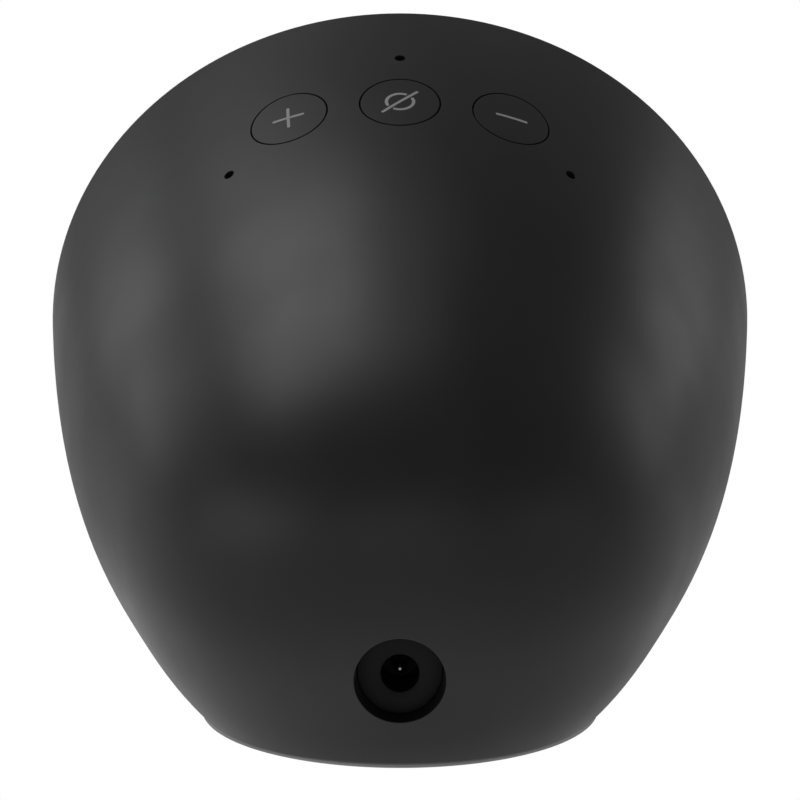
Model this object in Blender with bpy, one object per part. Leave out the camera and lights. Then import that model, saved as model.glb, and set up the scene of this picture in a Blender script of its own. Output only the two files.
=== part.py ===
"""Smart home hub: a round-faced table-top display speaker with a domed back, as separate named pieces.

World axes: X to the right seen from the front, Y to the back, Z up, table at Z = 0, front facing -Y.
The front disc leans back. Its own frame (rim_frame) has local Z along the disc's outward normal,
local Y up the disc, and the dome runs towards local -Z. Names ending in _depth are distances below
the dome's outer surface.
"""
import math

import bmesh
import bpy
import numpy as np
from mathutils import Matrix, Vector

MM = 0.001

# ---------------------------------------------------------------- driving dimensions
RIM_RADIUS = 56.5 * MM  # front disc, and half of the overall width
LEAN = math.radians(18.8)  # the front disc's lean from vertical
RIM_CENTRE = Vector((0.0, -38.9 * MM, 49.5 * MM))
DOME_LENGTH = 97.0 * MM  # rim plane to the dome's tip, along the disc's axis
# Poles of the dome's half profile, as (distance behind the rim, radius).
DOME_POLES = [
    (0.0, RIM_RADIUS),
    (78.4 * MM, 48.6 * MM),
    (38.5 * MM, 35.4 * MM),
    (DOME_LENGTH, 50.8 * MM),
    (DOME_LENGTH, 0.0),
]
BASE_Z = 1.4 * MM  # underside of the shell
BASE_ROUND = 0.9 * MM  # height over which the dome rolls into the underside
WALL = 2.0 * MM
GAP = 0.3 * MM

BUTTON_S = 25.6 * MM  # button row, behind the rim plane
BUTTON_ANGLE = math.radians(18.25)
BUTTON_RADIUS = 5.8 * MM
BUTTON_FLANGE = 7.1 * MM
MICS = [("centre", 13.8 * MM, 0.0), ("right", 33.6 * MM, 29.3), ("left", 33.6 * MM, -29.3)]
MIC_HOLE = 0.8 * MM
BOARD_DEPTH = 7.0 * MM
FLANGE_DEPTH = 3.0 * MM  # top of each button's flange
SWITCH_TOP = 5.1 * MM

JACK_Z = 15.95 * MM  # the power socket's axis
RECESS_RISE = 0.45 * MM  # the recess's centre above that axis
RECESS_TALL = 1.05  # height of the recess over its width
JACK_MOUTH = 6.35 * MM  # recess radius where it meets the dome
JACK_FLOOR_RADIUS = 6.05 * MM
JACK_FLOOR_Y = RIM_CENTRE.y + 84.9 * MM
JACK_BORE = 2.68 * MM
JACK_PIN = 1.05 * MM
PIN_DEPTH = 2.2 * MM  # the pin's tip below the recess floor

CHORD = -6.0 * MM  # between the display window above and the grille below
GRILLE_FOOT = -43.2 * MM  # lower edge of the grille
DRIVER_Y = -24.5 * MM
DRIVER_RADIUS = 19.5 * MM

# Outlines on the underside, as (distance below the dome, distance behind the rim plane).
RECESS = (1.7 * MM, 5.0 * MM)
PLATE = (1.95 * MM, 5.3 * MM)
OPENING = (7.0 * MM, 12.0 * MM)
PLATE_TOP = 3.9 * MM
LIP_TOP = 5.4 * MM
FOOT = (30.0 * MM, 31.2 * MM, 43.4 * MM, 8.0 * MM)  # pad: half width, reach back, reach forward, centre
FOOT_KEY = (19.0 * MM, 30.0 * MM, 30.0 * MM, 2.6 * MM)  # raised part, inside the plate's pocket
PAD_TOP = 1.1 * MM
KEY_TOP = 1.8 * MM

ROUND = 64  # sides of a large circle

# Pieces whose broad faces the exact solver leaves open.
BROAD_FACED = ("rear_shell",)


# ---------------------------------------------------------------- profile of the dome
def dome_point(t):
    """A point (s, r) of the half profile, and its outward unit normal."""
    poles = np.array(DOME_POLES)
    count = len(poles) - 1
    weight = [math.comb(count, i) * (1 - t) ** (count - i) * t**i for i in range(count + 1)]
    slope = [
        count * math.comb(count - 1, i) * (1 - t) ** (count - 1 - i) * t**i for i in range(count)
    ]
    point = np.array(weight) @ poles
    tangent = np.array(slope) @ np.diff(poles, axis=0)
    tangent /= np.hypot(*tangent)
    return point, np.array((-tangent[1], tangent[0]))


def dome_at(s):
    """The profile's point and normal at distance s behind the rim."""
    low, high = 0.0, 1.0
    for _ in range(50):
        middle = (low + high) / 2
        if dome_point(middle)[0][0] < s:
            low = middle
        else:
            high = middle
    return dome_point(low)


FINE = [dome_point(t) for t in np.linspace(0, 1, 240)]
LEAD = FINE[0][0] - 26 * MM * np.array((FINE[0][1][1], -FINE[0][1][0]))
CURVE = np.array([LEAD] + [p for p, _ in FINE] + [FINE[-2][0] * (1, -1)])


def dome_distance(point):
    """Signed distance from the dome's surface, negative inside. The rim end runs on as a cone."""
    local = TO_RIM @ Vector(point)
    place = np.array((-local.z, math.hypot(local.x, local.y)))
    start, along = CURVE[:-1], np.diff(CURVE, axis=0)
    share = np.clip(((place - start) * along).sum(1) / (along**2).sum(1), 0, 1)
    away = place - start - along * share[:, None]
    nearest = int((away**2).sum(1).argmin())
    side = along[nearest][0] * away[nearest][1] - along[nearest][1] * away[nearest][0]
    return math.copysign(math.hypot(*away[nearest]), side)


def surface_frame(s, angle, depth=0.0):
    """Rim-frame matrix on the dome: Z out of the surface, Y towards the rim, X across."""
    (along, radius), (n_s, n_r) = dome_at(s)
    out = Vector((math.sin(angle), math.cos(angle), 0.0))
    normal = (out * n_r + Vector((0, 0, -1)) * n_s).normalized()
    across = Vector((-math.cos(angle), math.sin(angle), 0.0))
    place = out * radius + Vector((0, 0, -along)) - normal * depth
    frame = Matrix((across, normal.cross(across), normal)).transposed().to_4x4()
    return Matrix.Translation(place) @ frame


# ---------------------------------------------------------------- scene helpers
def clear():
    for obj in list(bpy.data.objects):
        bpy.data.objects.remove(obj)
    for mesh in list(bpy.data.meshes):
        bpy.data.meshes.remove(mesh)


def material(name, colour, roughness, metallic=0.0):
    made = bpy.data.materials.new(name)
    made.use_nodes = True
    shader = made.node_tree.nodes["Principled BSDF"]
    shader.inputs["Base Color"].default_value = (*colour, 1.0)
    shader.inputs["Roughness"].default_value = roughness
    shader.inputs["Metallic"].default_value = metallic
    made.diffuse_color = (*colour, 1.0)
    return made


def empty(name, matrix, parent=None):
    made = bpy.data.objects.new(name, None)
    made.empty_display_size = 0.01
    bpy.context.collection.objects.link(made)
    made.parent = parent
    made.matrix_local = matrix
    return made


def finish(name, bm, surface, frame=None, sharp=35.0):
    """An object from this mesh, shaded smooth except over edges sharper than the angle."""
    bmesh.ops.remove_doubles(bm, verts=bm.verts, dist=1e-7)
    bmesh.ops.recalc_face_normals(bm, faces=bm.faces)
    mesh = bpy.data.meshes.new(name)
    bm.to_mesh(mesh)
    bm.free()
    mesh.shade_smooth()
    mesh.set_sharp_from_angle(angle=math.radians(sharp))
    made = bpy.data.objects.new(name, mesh)
    bpy.context.collection.objects.link(made)
    if frame is not None:
        made.parent = frame
    if surface is None:
        made.hide_render = True
        made.display_type = "WIRE"
    else:
        mesh.materials.append(surface)
    return made


def join(bm, rings, closed_rows=False):
    """Faces between rings of equal length, with caps on the end rings unless the rows close up."""
    count = len(rings[0])
    pairs = list(zip(rings, rings[1:]))
    if closed_rows:
        pairs.append((rings[-1], rings[0]))
    for lower, upper in pairs:
        for i in range(count):
            j = (i + 1) % count
            corners = [lower[i], lower[j], upper[j], upper[i]]
            unique = list(dict.fromkeys(corners))
            if len(unique) > 2:
                bm.faces.new(unique)
    if not closed_rows:
        for ring in (rings[0], rings[-1]):
            if len(set(ring)) > 2:
                bm.faces.new(ring)


def lathe(name, profile, surface, frame=None, sides=32, sharp=35.0):
    """A profile of (radius, height) turned about the frame's Z. It may start and end on the axis."""
    bm = bmesh.new()
    on_axis = profile[0][0] == 0 and profile[-1][0] == 0
    rings = []
    for radius, height in profile:
        if radius == 0:
            rings.append([bm.verts.new((0, 0, height))] * sides)
            continue
        turn = [2 * math.pi * i / sides for i in range(sides)]
        rings.append([bm.verts.new((radius * math.cos(a), radius * math.sin(a), height)) for a in turn])
    join(bm, rings, closed_rows=not on_axis)
    return finish(name, bm, surface, frame, sharp)


def rod(name, radius, low, high, surface, frame=None, sides=24, top=None):
    top = radius if top is None else top
    profile = [(0, low), (radius, low), (top, high), (0, high)]
    return lathe(name, profile, surface, frame, sides)


def prism(name, outline, low, high, surface, frame=None, sharp=35.0):
    bm = bmesh.new()
    rings = [[bm.verts.new((x, y, z)) for x, y in outline] for z in (low, high)]
    join(bm, rings)
    return finish(name, bm, surface, frame, sharp)


def box(name, size, centre, surface, frame=None, bevel=0.0):
    bm = bmesh.new()
    place = Matrix.Translation(centre) @ Matrix.Diagonal((*size, 1))
    bmesh.ops.create_cube(bm, size=1.0, matrix=place)
    if bevel:
        bmesh.ops.bevel(bm, geom=bm.edges[:], offset=bevel, segments=1, affect="EDGES", profile=0.5)
    return finish(name, bm, surface, frame)


def boolean(target, tool, operation="DIFFERENCE"):
    made = target.modifiers.new(f"{operation.title()} {tool.name}", "BOOLEAN")
    made.object = tool
    made.operation = operation
    made.solver = "MANIFOLD" if target.name in BROAD_FACED else "EXACT"


def arc_outline(radius, low, high, corner, steps=24):
    """The part of a disc between two horizontal lines, with rounded corners, from bottom to top and back."""
    right = []
    start, end = -math.pi / 2, math.pi / 2
    if low > -radius:
        x = math.sqrt((radius - corner) ** 2 - (low + corner) ** 2)
        start = math.atan2(low + corner, x)
        for i in range(4):
            turn = -math.pi / 2 + (start + math.pi / 2) * i / 4
            right.append((x + corner * math.cos(turn), low + corner + corner * math.sin(turn)))
    if high < radius:
        x = math.sqrt((radius - corner) ** 2 - (high - corner) ** 2)
        end = math.atan2(high - corner, x)
    for i in range(steps + 1):
        turn = start + (end - start) * i / steps
        right.append((radius * math.cos(turn), radius * math.sin(turn)))
    if high < radius:
        for i in range(1, 5):
            turn = end + (math.pi / 2 - end) * i / 4
            right.append((x + corner * math.cos(turn), high - corner + corner * math.sin(turn)))
    return right + [(-x, y) for x, y in reversed(right) if x > 1e-7]


# ---------------------------------------------------------------- the dome with its flat underside
def ordered_loop(bm):
    """The vertices of the mesh's one open boundary, in order."""
    edges = [e for e in bm.edges if e.is_boundary]
    following = {}
    for edge in edges:
        for a, b in (edge.verts, reversed(edge.verts)):
            following.setdefault(a, []).append(b)
    start = edges[0].verts[0]
    loop, previous = [start], None
    while True:
        onward = [v for v in following[loop[-1]] if v is not previous]
        previous = loop[-1]
        if onward[0] is start and len(loop) > 2:
            return loop
        loop.append(onward[0])


def hull_solid(name, surface, depth, base, roll, front, sides=ROUND, rows=17, waist=8.0 * MM):
    """The dome moved inwards by depth, cut off by the underside at height base and by a plane
    this far behind the rim. The underside's edge is rolled over."""
    bm = bmesh.new()
    profile = [tuple(FINE[0][0] + (LEAD - FINE[0][0]) * f - (0, depth)) for f in (1, 0.6, 0.3, 0.1)]
    travel = np.concatenate([[0], np.cumsum(np.hypot(*np.diff([p for p, _ in FINE], axis=0).T))])
    for i in range(rows):
        nearest = int(np.abs(travel - travel[-1] * i / rows).argmin())
        point, normal = FINE[nearest]
        profile.append(tuple(point - normal * depth))
    rings = []
    for s, radius in profile:
        turn = [2 * math.pi * i / sides for i in range(sides)]
        rings.append(
            [bm.verts.new(FROM_RIM @ Vector((radius * math.sin(a), radius * math.cos(a), -s))) for a in turn]
        )
    rings.append([bm.verts.new(FROM_RIM @ Vector((0, 0, depth - DOME_LENGTH)))] * sides)
    join(bm, rings)
    bmesh.ops.bisect_plane(
        bm, geom=bm.verts[:] + bm.edges[:] + bm.faces[:], plane_co=(0, 0, waist), plane_no=(0, 0, 1),
        clear_inner=True, dist=1e-6,
    )
    bmesh.ops.remove_doubles(bm, verts=bm.verts, dist=0.25 * MM)
    loop = ordered_loop(bm)
    spots = [v.co.copy() for v in loop]
    turned = sum(a.x * b.y - b.x * a.y for a, b in zip(spots, spots[1:] + spots[:1]))
    levels = [(waist + (base + roll - waist) * f, None) for f in (0.5, 0.8, 1.0)]
    levels += [(base + roll * (1 - math.sin(a)), None) for a in (0.45, 0.9)]
    levels.append((base, "flat"))
    rings = [loop] + [[] for _ in levels]
    for i, spot in enumerate(spots):
        chord = spots[(i + 1) % len(spots)] - spots[i - 1]
        inward = Vector((-chord.y, chord.x, 0)).normalized() * math.copysign(1, turned)
        ahead = spot.y < (FROM_RIM @ Vector((0, -40 * MM, 12 * MM))).y
        for ring, (height, kind) in zip(rings[1:], levels):
            near, far = 0.0, 24 * MM
            for _ in range(40):
                reach = (near + far) / 2
                place = Vector((spot.x, spot.y, height)) + inward * reach
                a, b = dome_distance(place) + depth, base - height
                if ahead:
                    outside = reach < 0.5 * (waist - height)
                elif kind == "flat":
                    outside = a > -roll
                elif a > -roll and b > -roll:
                    outside = math.hypot(a + roll, b + roll) > roll
                else:
                    outside = a > 0
                if outside:
                    near = reach
                else:
                    far = reach
            ring.append(bm.verts.new(Vector((spot.x, spot.y, height)) + inward * near))
    for lower, upper in zip(rings, rings[1:]):
        for i in range(len(loop)):
            j = (i + 1) % len(loop)
            bm.faces.new((lower[i], lower[j], upper[j], upper[i]))
    bm.faces.new(rings[-1])
    bmesh.ops.recalc_face_normals(bm, faces=bm.faces)
    bmesh.ops.bisect_plane(
        bm, geom=bm.verts[:] + bm.edges[:] + bm.faces[:], plane_co=FROM_RIM @ Vector((0, 0, -front)),
        plane_no=FROM_RIM.to_3x3() @ Vector((0, 0, 1)), clear_outer=True, dist=1e-6,
    )
    bmesh.ops.holes_fill(bm, edges=[e for e in bm.edges if e.is_boundary], sides=0)
    return finish(name, bm, surface, None, sharp=32.0)


def base_point(turn, depth, front, corner=5 * MM):
    """Where the outline on the underside, this far below the dome and behind the rim, lies at this angle."""
    near, far = 0.0, 70 * MM
    for _ in range(36):
        reach = (near + far) / 2
        place = Vector((reach * math.cos(turn), -6 * MM + reach * math.sin(turn), BASE_Z))
        a, b = dome_distance(place) + depth, (TO_RIM @ place).z + front
        if a > -corner and b > -corner:
            inside = math.hypot(a + corner, b + corner) < corner
        else:
            inside = max(a, b) < 0
        if inside:
            near = reach
        else:
            far = reach
    return near * math.cos(turn), -6 * MM + near * math.sin(turn)


def oval(shape, grow=0.0, steps=48):
    """An outline with half width, reach back, reach forward and centre, grown by this much."""
    width, back, ahead, centre = shape
    outline = []
    for i in range(steps):
        turn = 2 * math.pi * i / steps
        reach = back if math.sin(turn) > 0 else ahead
        outline.append(((width + grow) * math.cos(turn), centre + (reach + grow) * math.sin(turn)))
    return outline


def base_outline(depth, front, steps=48):
    return [base_point(2 * math.pi * i / steps, depth, front) for i in range(steps)]


def patch(name, surface, outer_depth, inner_depth, s_range, angle_range, rows, columns, frame):
    """A sheet that follows the dome between two depths."""
    bm = bmesh.new()
    grids = []
    for depth in (outer_depth, inner_depth):
        grid = []
        for i in range(rows + 1):
            s = s_range[0] + (s_range[1] - s_range[0]) * i / rows
            row = []
            for j in range(columns + 1):
                angle = math.radians(angle_range[0] + (angle_range[1] - angle_range[0]) * j / columns)
                row.append(bm.verts.new(surface_frame(s, angle, depth).translation))
            grid.append(row)
        grids.append(grid)
    for grid in grids:
        for i in range(rows):
            for j in range(columns):
                bm.faces.new((grid[i][j], grid[i][j + 1], grid[i + 1][j + 1], grid[i + 1][j]))
    edge = [(0, j) for j in range(columns)] + [(i, columns) for i in range(rows)]
    edge += [(rows, j) for j in range(columns, 0, -1)] + [(i, 0) for i in range(rows, 0, -1)]
    for (i, j), (k, m) in zip(edge, edge[1:] + edge[:1]):
        bm.faces.new((grids[0][i][j], grids[0][k][m], grids[1][k][m], grids[1][i][j]))
    return finish(name, bm, surface, frame)


def skin_plug(name, frame, onto, radius=11 * MM, sides=32, rings=4):
    """A solid under the dome's surface around this frame, its top following the dome."""
    bm = bmesh.new()
    loops = [[bm.verts.new((0, 0, -9 * MM))] * sides]
    for share, deep in [(1, True)] + [((rings - i) / rings, False) for i in range(rings)] + [(0, False)]:
        loop = []
        for i in range(sides):
            turn = 2 * math.pi * i / sides
            place = Vector((radius * share * math.cos(turn), radius * share * math.sin(turn), 0))
            if deep:
                place.z = -9 * MM
            else:
                for _ in range(3):
                    place.z -= dome_distance(FROM_RIM @ onto @ place)
            loop.append(bm.verts.new(place))
        loops.append([loop[0]] * sides if share == 0 else loop)
    join(bm, loops)
    bmesh.ops.delete(bm, geom=[v for v in bm.verts if not v.link_faces], context="VERTS")
    return finish(name, bm, None, frame)


def lead(name, points, radius, surface, frame):
    """A round lead along a smooth path, with closed ends."""
    curve = bpy.data.curves.new(name, "CURVE")
    curve.dimensions = "3D"
    curve.bevel_depth = radius
    curve.bevel_resolution = 1
    curve.use_fill_caps = True
    curve.resolution_u = 6
    spline = curve.splines.new("BEZIER")
    spline.bezier_points.add(len(points) - 1)
    for knot, point in zip(spline.bezier_points, points):
        knot.co = point
        knot.handle_left_type = knot.handle_right_type = "AUTO"
    made = bpy.data.objects.new(name, curve)
    bpy.context.collection.objects.link(made)
    made.parent = frame
    curve.materials.append(surface)
    return made


def strip(name, points, width, thick, surface, frame):
    """A flat flexible strip: a polyline in the frame's YZ plane, this wide along X."""
    bm = bmesh.new()
    line = [Vector(p) for p in points]
    rings = []
    for i, (x, y, z) in enumerate(line):
        onward = line[min(i + 1, len(line) - 1)] - line[max(i - 1, 0)]
        side = Vector((0, -onward.z, onward.y)).normalized() * thick / 2
        rings.append(
            [bm.verts.new(Vector((x + a * width / 2, y, z)) + side * b)
             for a, b in ((-1, -1), (1, -1), (1, 1), (-1, 1))]
        )
    join(bm, rings)
    return finish(name, bm, surface, frame)


def screw(name, frame, place, turn, length, radius=1.0 * MM, head=1.9 * MM, thick=1.2 * MM):
    """A pan-head screw: its head's underside at the place, its shank along the turned -Z."""
    profile = [(0, -length), (radius * 0.7, -length), (radius, -length + radius), (radius, 0), (head, 0),
               (head, thick * 0.6), (head * 0.7, thick), (radius * 0.7, thick),
               (radius * 0.45, thick * 0.4), (0, thick * 0.4)]
    made = lathe(name, profile, STEEL, frame, sides=12)
    made.matrix_local = Matrix.Translation(place) @ turn
    return made


clear()
FROM_RIM = Matrix.Translation(RIM_CENTRE) @ Matrix.Rotation(math.pi / 2 - LEAN, 4, "X")
TO_RIM = FROM_RIM.inverted()

SHELL_BLACK = material("shell black", (0.013, 0.013, 0.014), 0.52)
BUTTON_BLACK = material("button black", (0.012, 0.012, 0.013), 0.5)
FRAME_BLACK = material("frame black", (0.012, 0.012, 0.013), 0.45)
GLASS = material("window glass", (0.006, 0.006, 0.008), 0.08)
PANEL = material("display panel", (0.02, 0.02, 0.025), 0.3)
FOOT_GREY = material("foot rubber", (0.16, 0.16, 0.16), 0.8)
CLOTH = material("grille cloth", (0.02, 0.02, 0.02), 0.95)
INNER_PLASTIC = material("inner plastic", (0.03, 0.03, 0.032), 0.55)
BOARD_GREEN = material("circuit board", (0.01, 0.07, 0.03), 0.5)
FLEX_AMBER = material("flexible circuit", (0.35, 0.16, 0.03), 0.45)
STEEL = material("steel", (0.5, 0.5, 0.5), 0.3, 1.0)
ALUMINIUM = material("aluminium", (0.7, 0.7, 0.7), 0.35, 1.0)
CONTACT = material("plated contact", (0.72, 0.7, 0.66), 0.2, 1.0)
FERRITE = material("ferrite", (0.05, 0.05, 0.05), 0.6)
PAPER = material("cone paper", (0.03, 0.03, 0.03), 0.9)
RUBBER = material("soft rubber", (0.02, 0.02, 0.02), 0.8)
LEAD_BLACK = material("lead sleeve", (0.02, 0.02, 0.02), 0.6)

rim = empty("rim_frame", FROM_RIM)
jack = empty(
    "jack_frame",
    Matrix.Translation((0, JACK_FLOOR_Y, JACK_Z)) @ Matrix.Rotation(-math.pi / 2, 4, "X"),
)  # local Z runs out of the back along world +Y, local Y points down

# ---------------------------------------------------------------- rear shell
shell = hull_solid("rear_shell", SHELL_BLACK, 0.0, BASE_Z, BASE_ROUND, 0.0, rows=18)
hollow = hull_solid("cut_hollow", None, WALL, LIP_TOP, 0.8 * MM, -8 * MM, sides=48, rows=12, waist=12 * MM)
boolean(shell, hollow)

recess = empty("recess_frame", Matrix.Translation((0, -RECESS_RISE, 0)) @ Matrix.Diagonal((1, RECESS_TALL, 1, 1)), jack)
jack_tube = rod("add_jack_tube", 7.7 * MM, -2.4 * MM, 6.0 * MM, None, recess, sides=32)
under_skin = hull_solid("keep_under_skin", None, 0.6 * MM, BASE_Z + 1 * MM, 1 * MM, 20 * MM, sides=48, rows=12)
boolean(jack_tube, under_skin, "INTERSECT")
boolean(shell, jack_tube, "UNION")
flare = (JACK_MOUTH - JACK_FLOOR_RADIUS) / (5.0 * MM)
jack_hole = lathe(
    "cut_jack_mouth",
    [(0, -3 * MM), (JACK_FLOOR_RADIUS, -3 * MM), (JACK_FLOOR_RADIUS, 0),
     (JACK_FLOOR_RADIUS + 16 * MM * flare, 16 * MM), (0, 16 * MM)],
    None, recess, sides=40,
)
boolean(shell, jack_hole)

BOSS_ANGLES = (-41.0, 41.0)
for number, angle in enumerate(BOSS_ANGLES):
    place = surface_frame(BUTTON_S, math.radians(angle), 0.0)
    boss = rod(f"add_carrier_boss_{number}", 2.4 * MM, -7.3 * MM, -1.0 * MM, None, rim, sides=16)
    boss.matrix_local = place
    boolean(shell, boss, "UNION")
    bore = rod(f"cut_carrier_bore_{number}", 1.3 * MM, -9 * MM, -2.2 * MM, None, rim, sides=12)
    bore.matrix_local = place
    boolean(shell, bore)

boolean(shell, prism("cut_base_recess", base_outline(*RECESS), -2 * MM, PLATE_TOP + GAP, None))
boolean(shell, prism("cut_base_opening", base_outline(*OPENING, steps=32), 0, 7 * MM, None))
BASE_SCREWS = [base_point(math.radians(turn), 5.2 * MM, 9.5 * MM) for turn in (90, 205, 335)]
for number, (x, y) in enumerate(BASE_SCREWS):
    boss = rod(f"add_base_boss_{number}", 2.7 * MM, PLATE_TOP + GAP, 9.0 * MM, None, sides=16)
    bore = rod(f"cut_base_bore_{number}", 1.3 * MM, 0, 8.2 * MM, None, sides=12)
    for piece in (boss, bore):
        piece.location = (x, y, 0)
    boolean(shell, boss, "UNION")
    boolean(shell, bore)

button_frames, button_places = {}, {}
for name, side in (("volume_up", 1), ("mic_mute", 0), ("volume_down", -1)):
    button_places[name] = surface_frame(BUTTON_S, side * BUTTON_ANGLE)
    button_frames[name] = empty(f"{name}_frame", button_places[name], rim)
    hole = rod(f"cut_{name}_hole", BUTTON_RADIUS + GAP, -4 * MM, 4 * MM, None, button_frames[name], sides=40)
    boolean(shell, hole)
mic_frames = {}
for name, s, angle in MICS:
    mic_frames[name] = empty(f"mic_{name}_frame", surface_frame(s, math.radians(angle)), rim)
    hole = rod(f"cut_mic_{name}_hole", MIC_HOLE, -4 * MM, 2 * MM, None, mic_frames[name], sides=12)
    boolean(shell, hole)

# ---------------------------------------------------------------- front frame, window and grille
FRAME_RADIUS = RIM_RADIUS - WALL - 0.9 * MM
FRAME_FOOT = GRILLE_FOOT - 1.9 * MM
front_outer = prism("front_frame", arc_outline(FRAME_RADIUS, FRAME_FOOT, 60 * MM, 2 * MM, 32),
                    -3.2 * MM, 0.0, FRAME_BLACK, rim)
window_outline = arc_outline(51.8 * MM, CHORD + 1.0 * MM, 60 * MM, 3 * MM)
window_seat = arc_outline(52.1 * MM, CHORD + 0.7 * MM, 60 * MM, 3.2 * MM)
screen_hole = arc_outline(49.6 * MM, CHORD + 3.4 * MM, 60 * MM, 3 * MM)
grille_outline = arc_outline(51.8 * MM, GRILLE_FOOT, CHORD - 1.0 * MM, 3 * MM, 12)
grille_seat = arc_outline(52.1 * MM, GRILLE_FOOT - GAP, CHORD - 0.7 * MM, 3.2 * MM, 12)
sound_hole = arc_outline(49.2 * MM, GRILLE_FOOT + 2.2 * MM, CHORD - 3.4 * MM, 3 * MM, 12)
for name, outline, low in (
    ("cut_window_seat", window_seat, -1.5 * MM),
    ("cut_screen_hole", screen_hole, -6 * MM),
    ("cut_grille_seat", grille_seat, -1.5 * MM),
    ("cut_sound_hole", sound_hole, -6 * MM),
):
    boolean(front_outer, prism(name, outline, low, 4 * MM, None, rim))

prism("display_window", window_outline, -1.2 * MM, -0.05 * MM, GLASS, rim)
box("display_panel", (62 * MM, 38 * MM, 1.8 * MM), (0, 17.6 * MM, -2.6 * MM), PANEL, rim)

grille = prism("speaker_grille", grille_outline, -0.85 * MM, -0.05 * MM, FRAME_BLACK, rim)
for row in range(8):
    height = (-11.0 - 4.0 * row) * MM
    reach = math.sqrt((48.0 * MM) ** 2 - (abs(height) + 1 * MM) ** 2)
    reach = min(reach, 45 * MM)
    slot = box(f"cut_grille_slot_{row}", (2 * reach, 1.5 * MM, 4 * MM), (0, height, 0), None, rim)
    boolean(grille, slot)
cloth_outline = arc_outline(51.0 * MM, GRILLE_FOOT + 1 * MM, CHORD - 2.2 * MM, 3 * MM, 12)
prism("grille_cloth", cloth_outline, -1.48 * MM, -1.16 * MM, CLOTH, rim)

# ---------------------------------------------------------------- display bracket, boards and cooling
bracket = box("display_bracket", (66 * MM, 42 * MM, 3.0 * MM), (0, 18.0 * MM, -5.2 * MM), ALUMINIUM, rim)
boolean(bracket, box("cut_bracket_tray", (63 * MM, 39 * MM, 3.0 * MM), (0, 17.6 * MM, -4.2 * MM), None, rim))
boolean(bracket, box("cut_bracket_slot", (16 * MM, 3.0 * MM, 6 * MM), (0, 0.7 * MM, -5.2 * MM), None, rim))
BOARD_Z = -12.0 * MM
BOARD_CENTRE = Vector((0, 19.0 * MM, BOARD_Z))
board = box("main_board", (60 * MM, 34 * MM, 1.2 * MM), BOARD_CENTRE, BOARD_GREEN, rim)
box("shield_can", (26 * MM, 22 * MM, 2.0 * MM), BOARD_CENTRE + Vector((-8 * MM, 1 * MM, -1.9 * MM)), STEEL, rim)
box("board_connector", (14 * MM, 5 * MM, 3.2 * MM), BOARD_CENTRE + Vector((14 * MM, -11 * MM, -2.5 * MM)),
    INNER_PLASTIC, rim)
box("heat_spreader", (56 * MM, 24 * MM, 1.2 * MM), BOARD_CENTRE + Vector((0, 5 * MM, -3.8 * MM)),
    ALUMINIUM, rim)
BOARD_HOLES = [(x * 27 * MM, y * 14 * MM) for x in (-1, 1) for y in (-1, 1)]
for number, (x, y) in enumerate(BOARD_HOLES):
    spot = BOARD_CENTRE + Vector((x, y, 0))
    post = rod(f"add_bracket_post_{number}", 2.6 * MM, -11.0 * MM, -6.4 * MM, None, rim, sides=14)
    post.matrix_local = Matrix.Translation((spot.x, spot.y, 0))
    boolean(bracket, post, "UNION")
    bore = rod(f"cut_board_bore_{number}", 1.3 * MM, -20 * MM, -7.6 * MM, None, rim, sides=12)
    bore.matrix_local = Matrix.Translation((spot.x, spot.y, 0))
    for target in (bracket, board):
        boolean(target, bore)
    screw(f"board_screw_{number + 1}", rim, (spot.x, spot.y, BOARD_Z - 0.9 * MM),
          Matrix.Rotation(math.pi, 4, "X"), 4.0 * MM)

# ---------------------------------------------------------------- buttons, switches and their board
for name, frame in button_frames.items():
    cap = lathe(
        f"button_{name}",
        [(0, -FLANGE_DEPTH - 1.3 * MM), (1.5 * MM, -FLANGE_DEPTH - 1.3 * MM),
         (1.5 * MM, -FLANGE_DEPTH - 0.7 * MM), (BUTTON_FLANGE, -FLANGE_DEPTH - 0.7 * MM),
         (BUTTON_FLANGE, -FLANGE_DEPTH), (BUTTON_RADIUS, -FLANGE_DEPTH), (BUTTON_RADIUS, 2 * MM), (0, 2 * MM)],
        BUTTON_BLACK, frame, sides=40,
    )
    dome_cut = skin_plug(f"keep_{name}", frame, button_places[name])
    boolean(cap, dome_cut, "INTERSECT")
    rod(f"switch_plunger_{name}", 1.1 * MM, -5.75 * MM, -4.6 * MM, CONTACT, frame, sides=16)
    body = box(f"switch_body_{name}", (4.6 * MM, 4.6 * MM, 1.6 * MM), (0, 0, -SWITCH_TOP - 0.8 * MM),
               INNER_PLASTIC, frame)
    boolean(body, rod(f"cut_switch_{name}", 1.4 * MM, -SWITCH_TOP - 1.2 * MM, -4 * MM, None, frame, sides=16))

patch("button_board", BOARD_GREEN, BOARD_DEPTH, BOARD_DEPTH + 0.5 * MM, (10.8 * MM, 36.0 * MM), (-33, 33),
      4, 12, rim)
carrier = patch("button_carrier", INNER_PLASTIC, BOARD_DEPTH + 0.8 * MM, BOARD_DEPTH + 2.0 * MM,
                (18.0 * MM, 33.0 * MM), (-45, 45), 3, 15, rim)
for number, angle in enumerate(BOSS_ANGLES):
    place = surface_frame(BUTTON_S, math.radians(angle))
    bore = rod(f"cut_carrier_{number}", 1.3 * MM, -12 * MM, -6 * MM, None, rim, sides=12)
    bore.matrix_local = place
    boolean(carrier, bore)
    screw(f"carrier_screw_{number + 1}", rim, place @ Vector((0, 0, -9.4 * MM)),
          place.to_3x3().to_4x4() @ Matrix.Rotation(math.pi, 4, "X"), 5.2 * MM)
for name, frame in mic_frames.items():
    box(f"mic_{name}", (3.5 * MM, 2.8 * MM, 1.1 * MM), (0, 0, -6.15 * MM), STEEL, frame)
    lathe(
        f"mic_gasket_{name}",
        [(1.0 * MM, -5.3 * MM), (2.0 * MM, -5.3 * MM), (2.0 * MM, -2.6 * MM), (1.0 * MM, -2.6 * MM)],
        RUBBER, frame, sides=16,
    )

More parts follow.
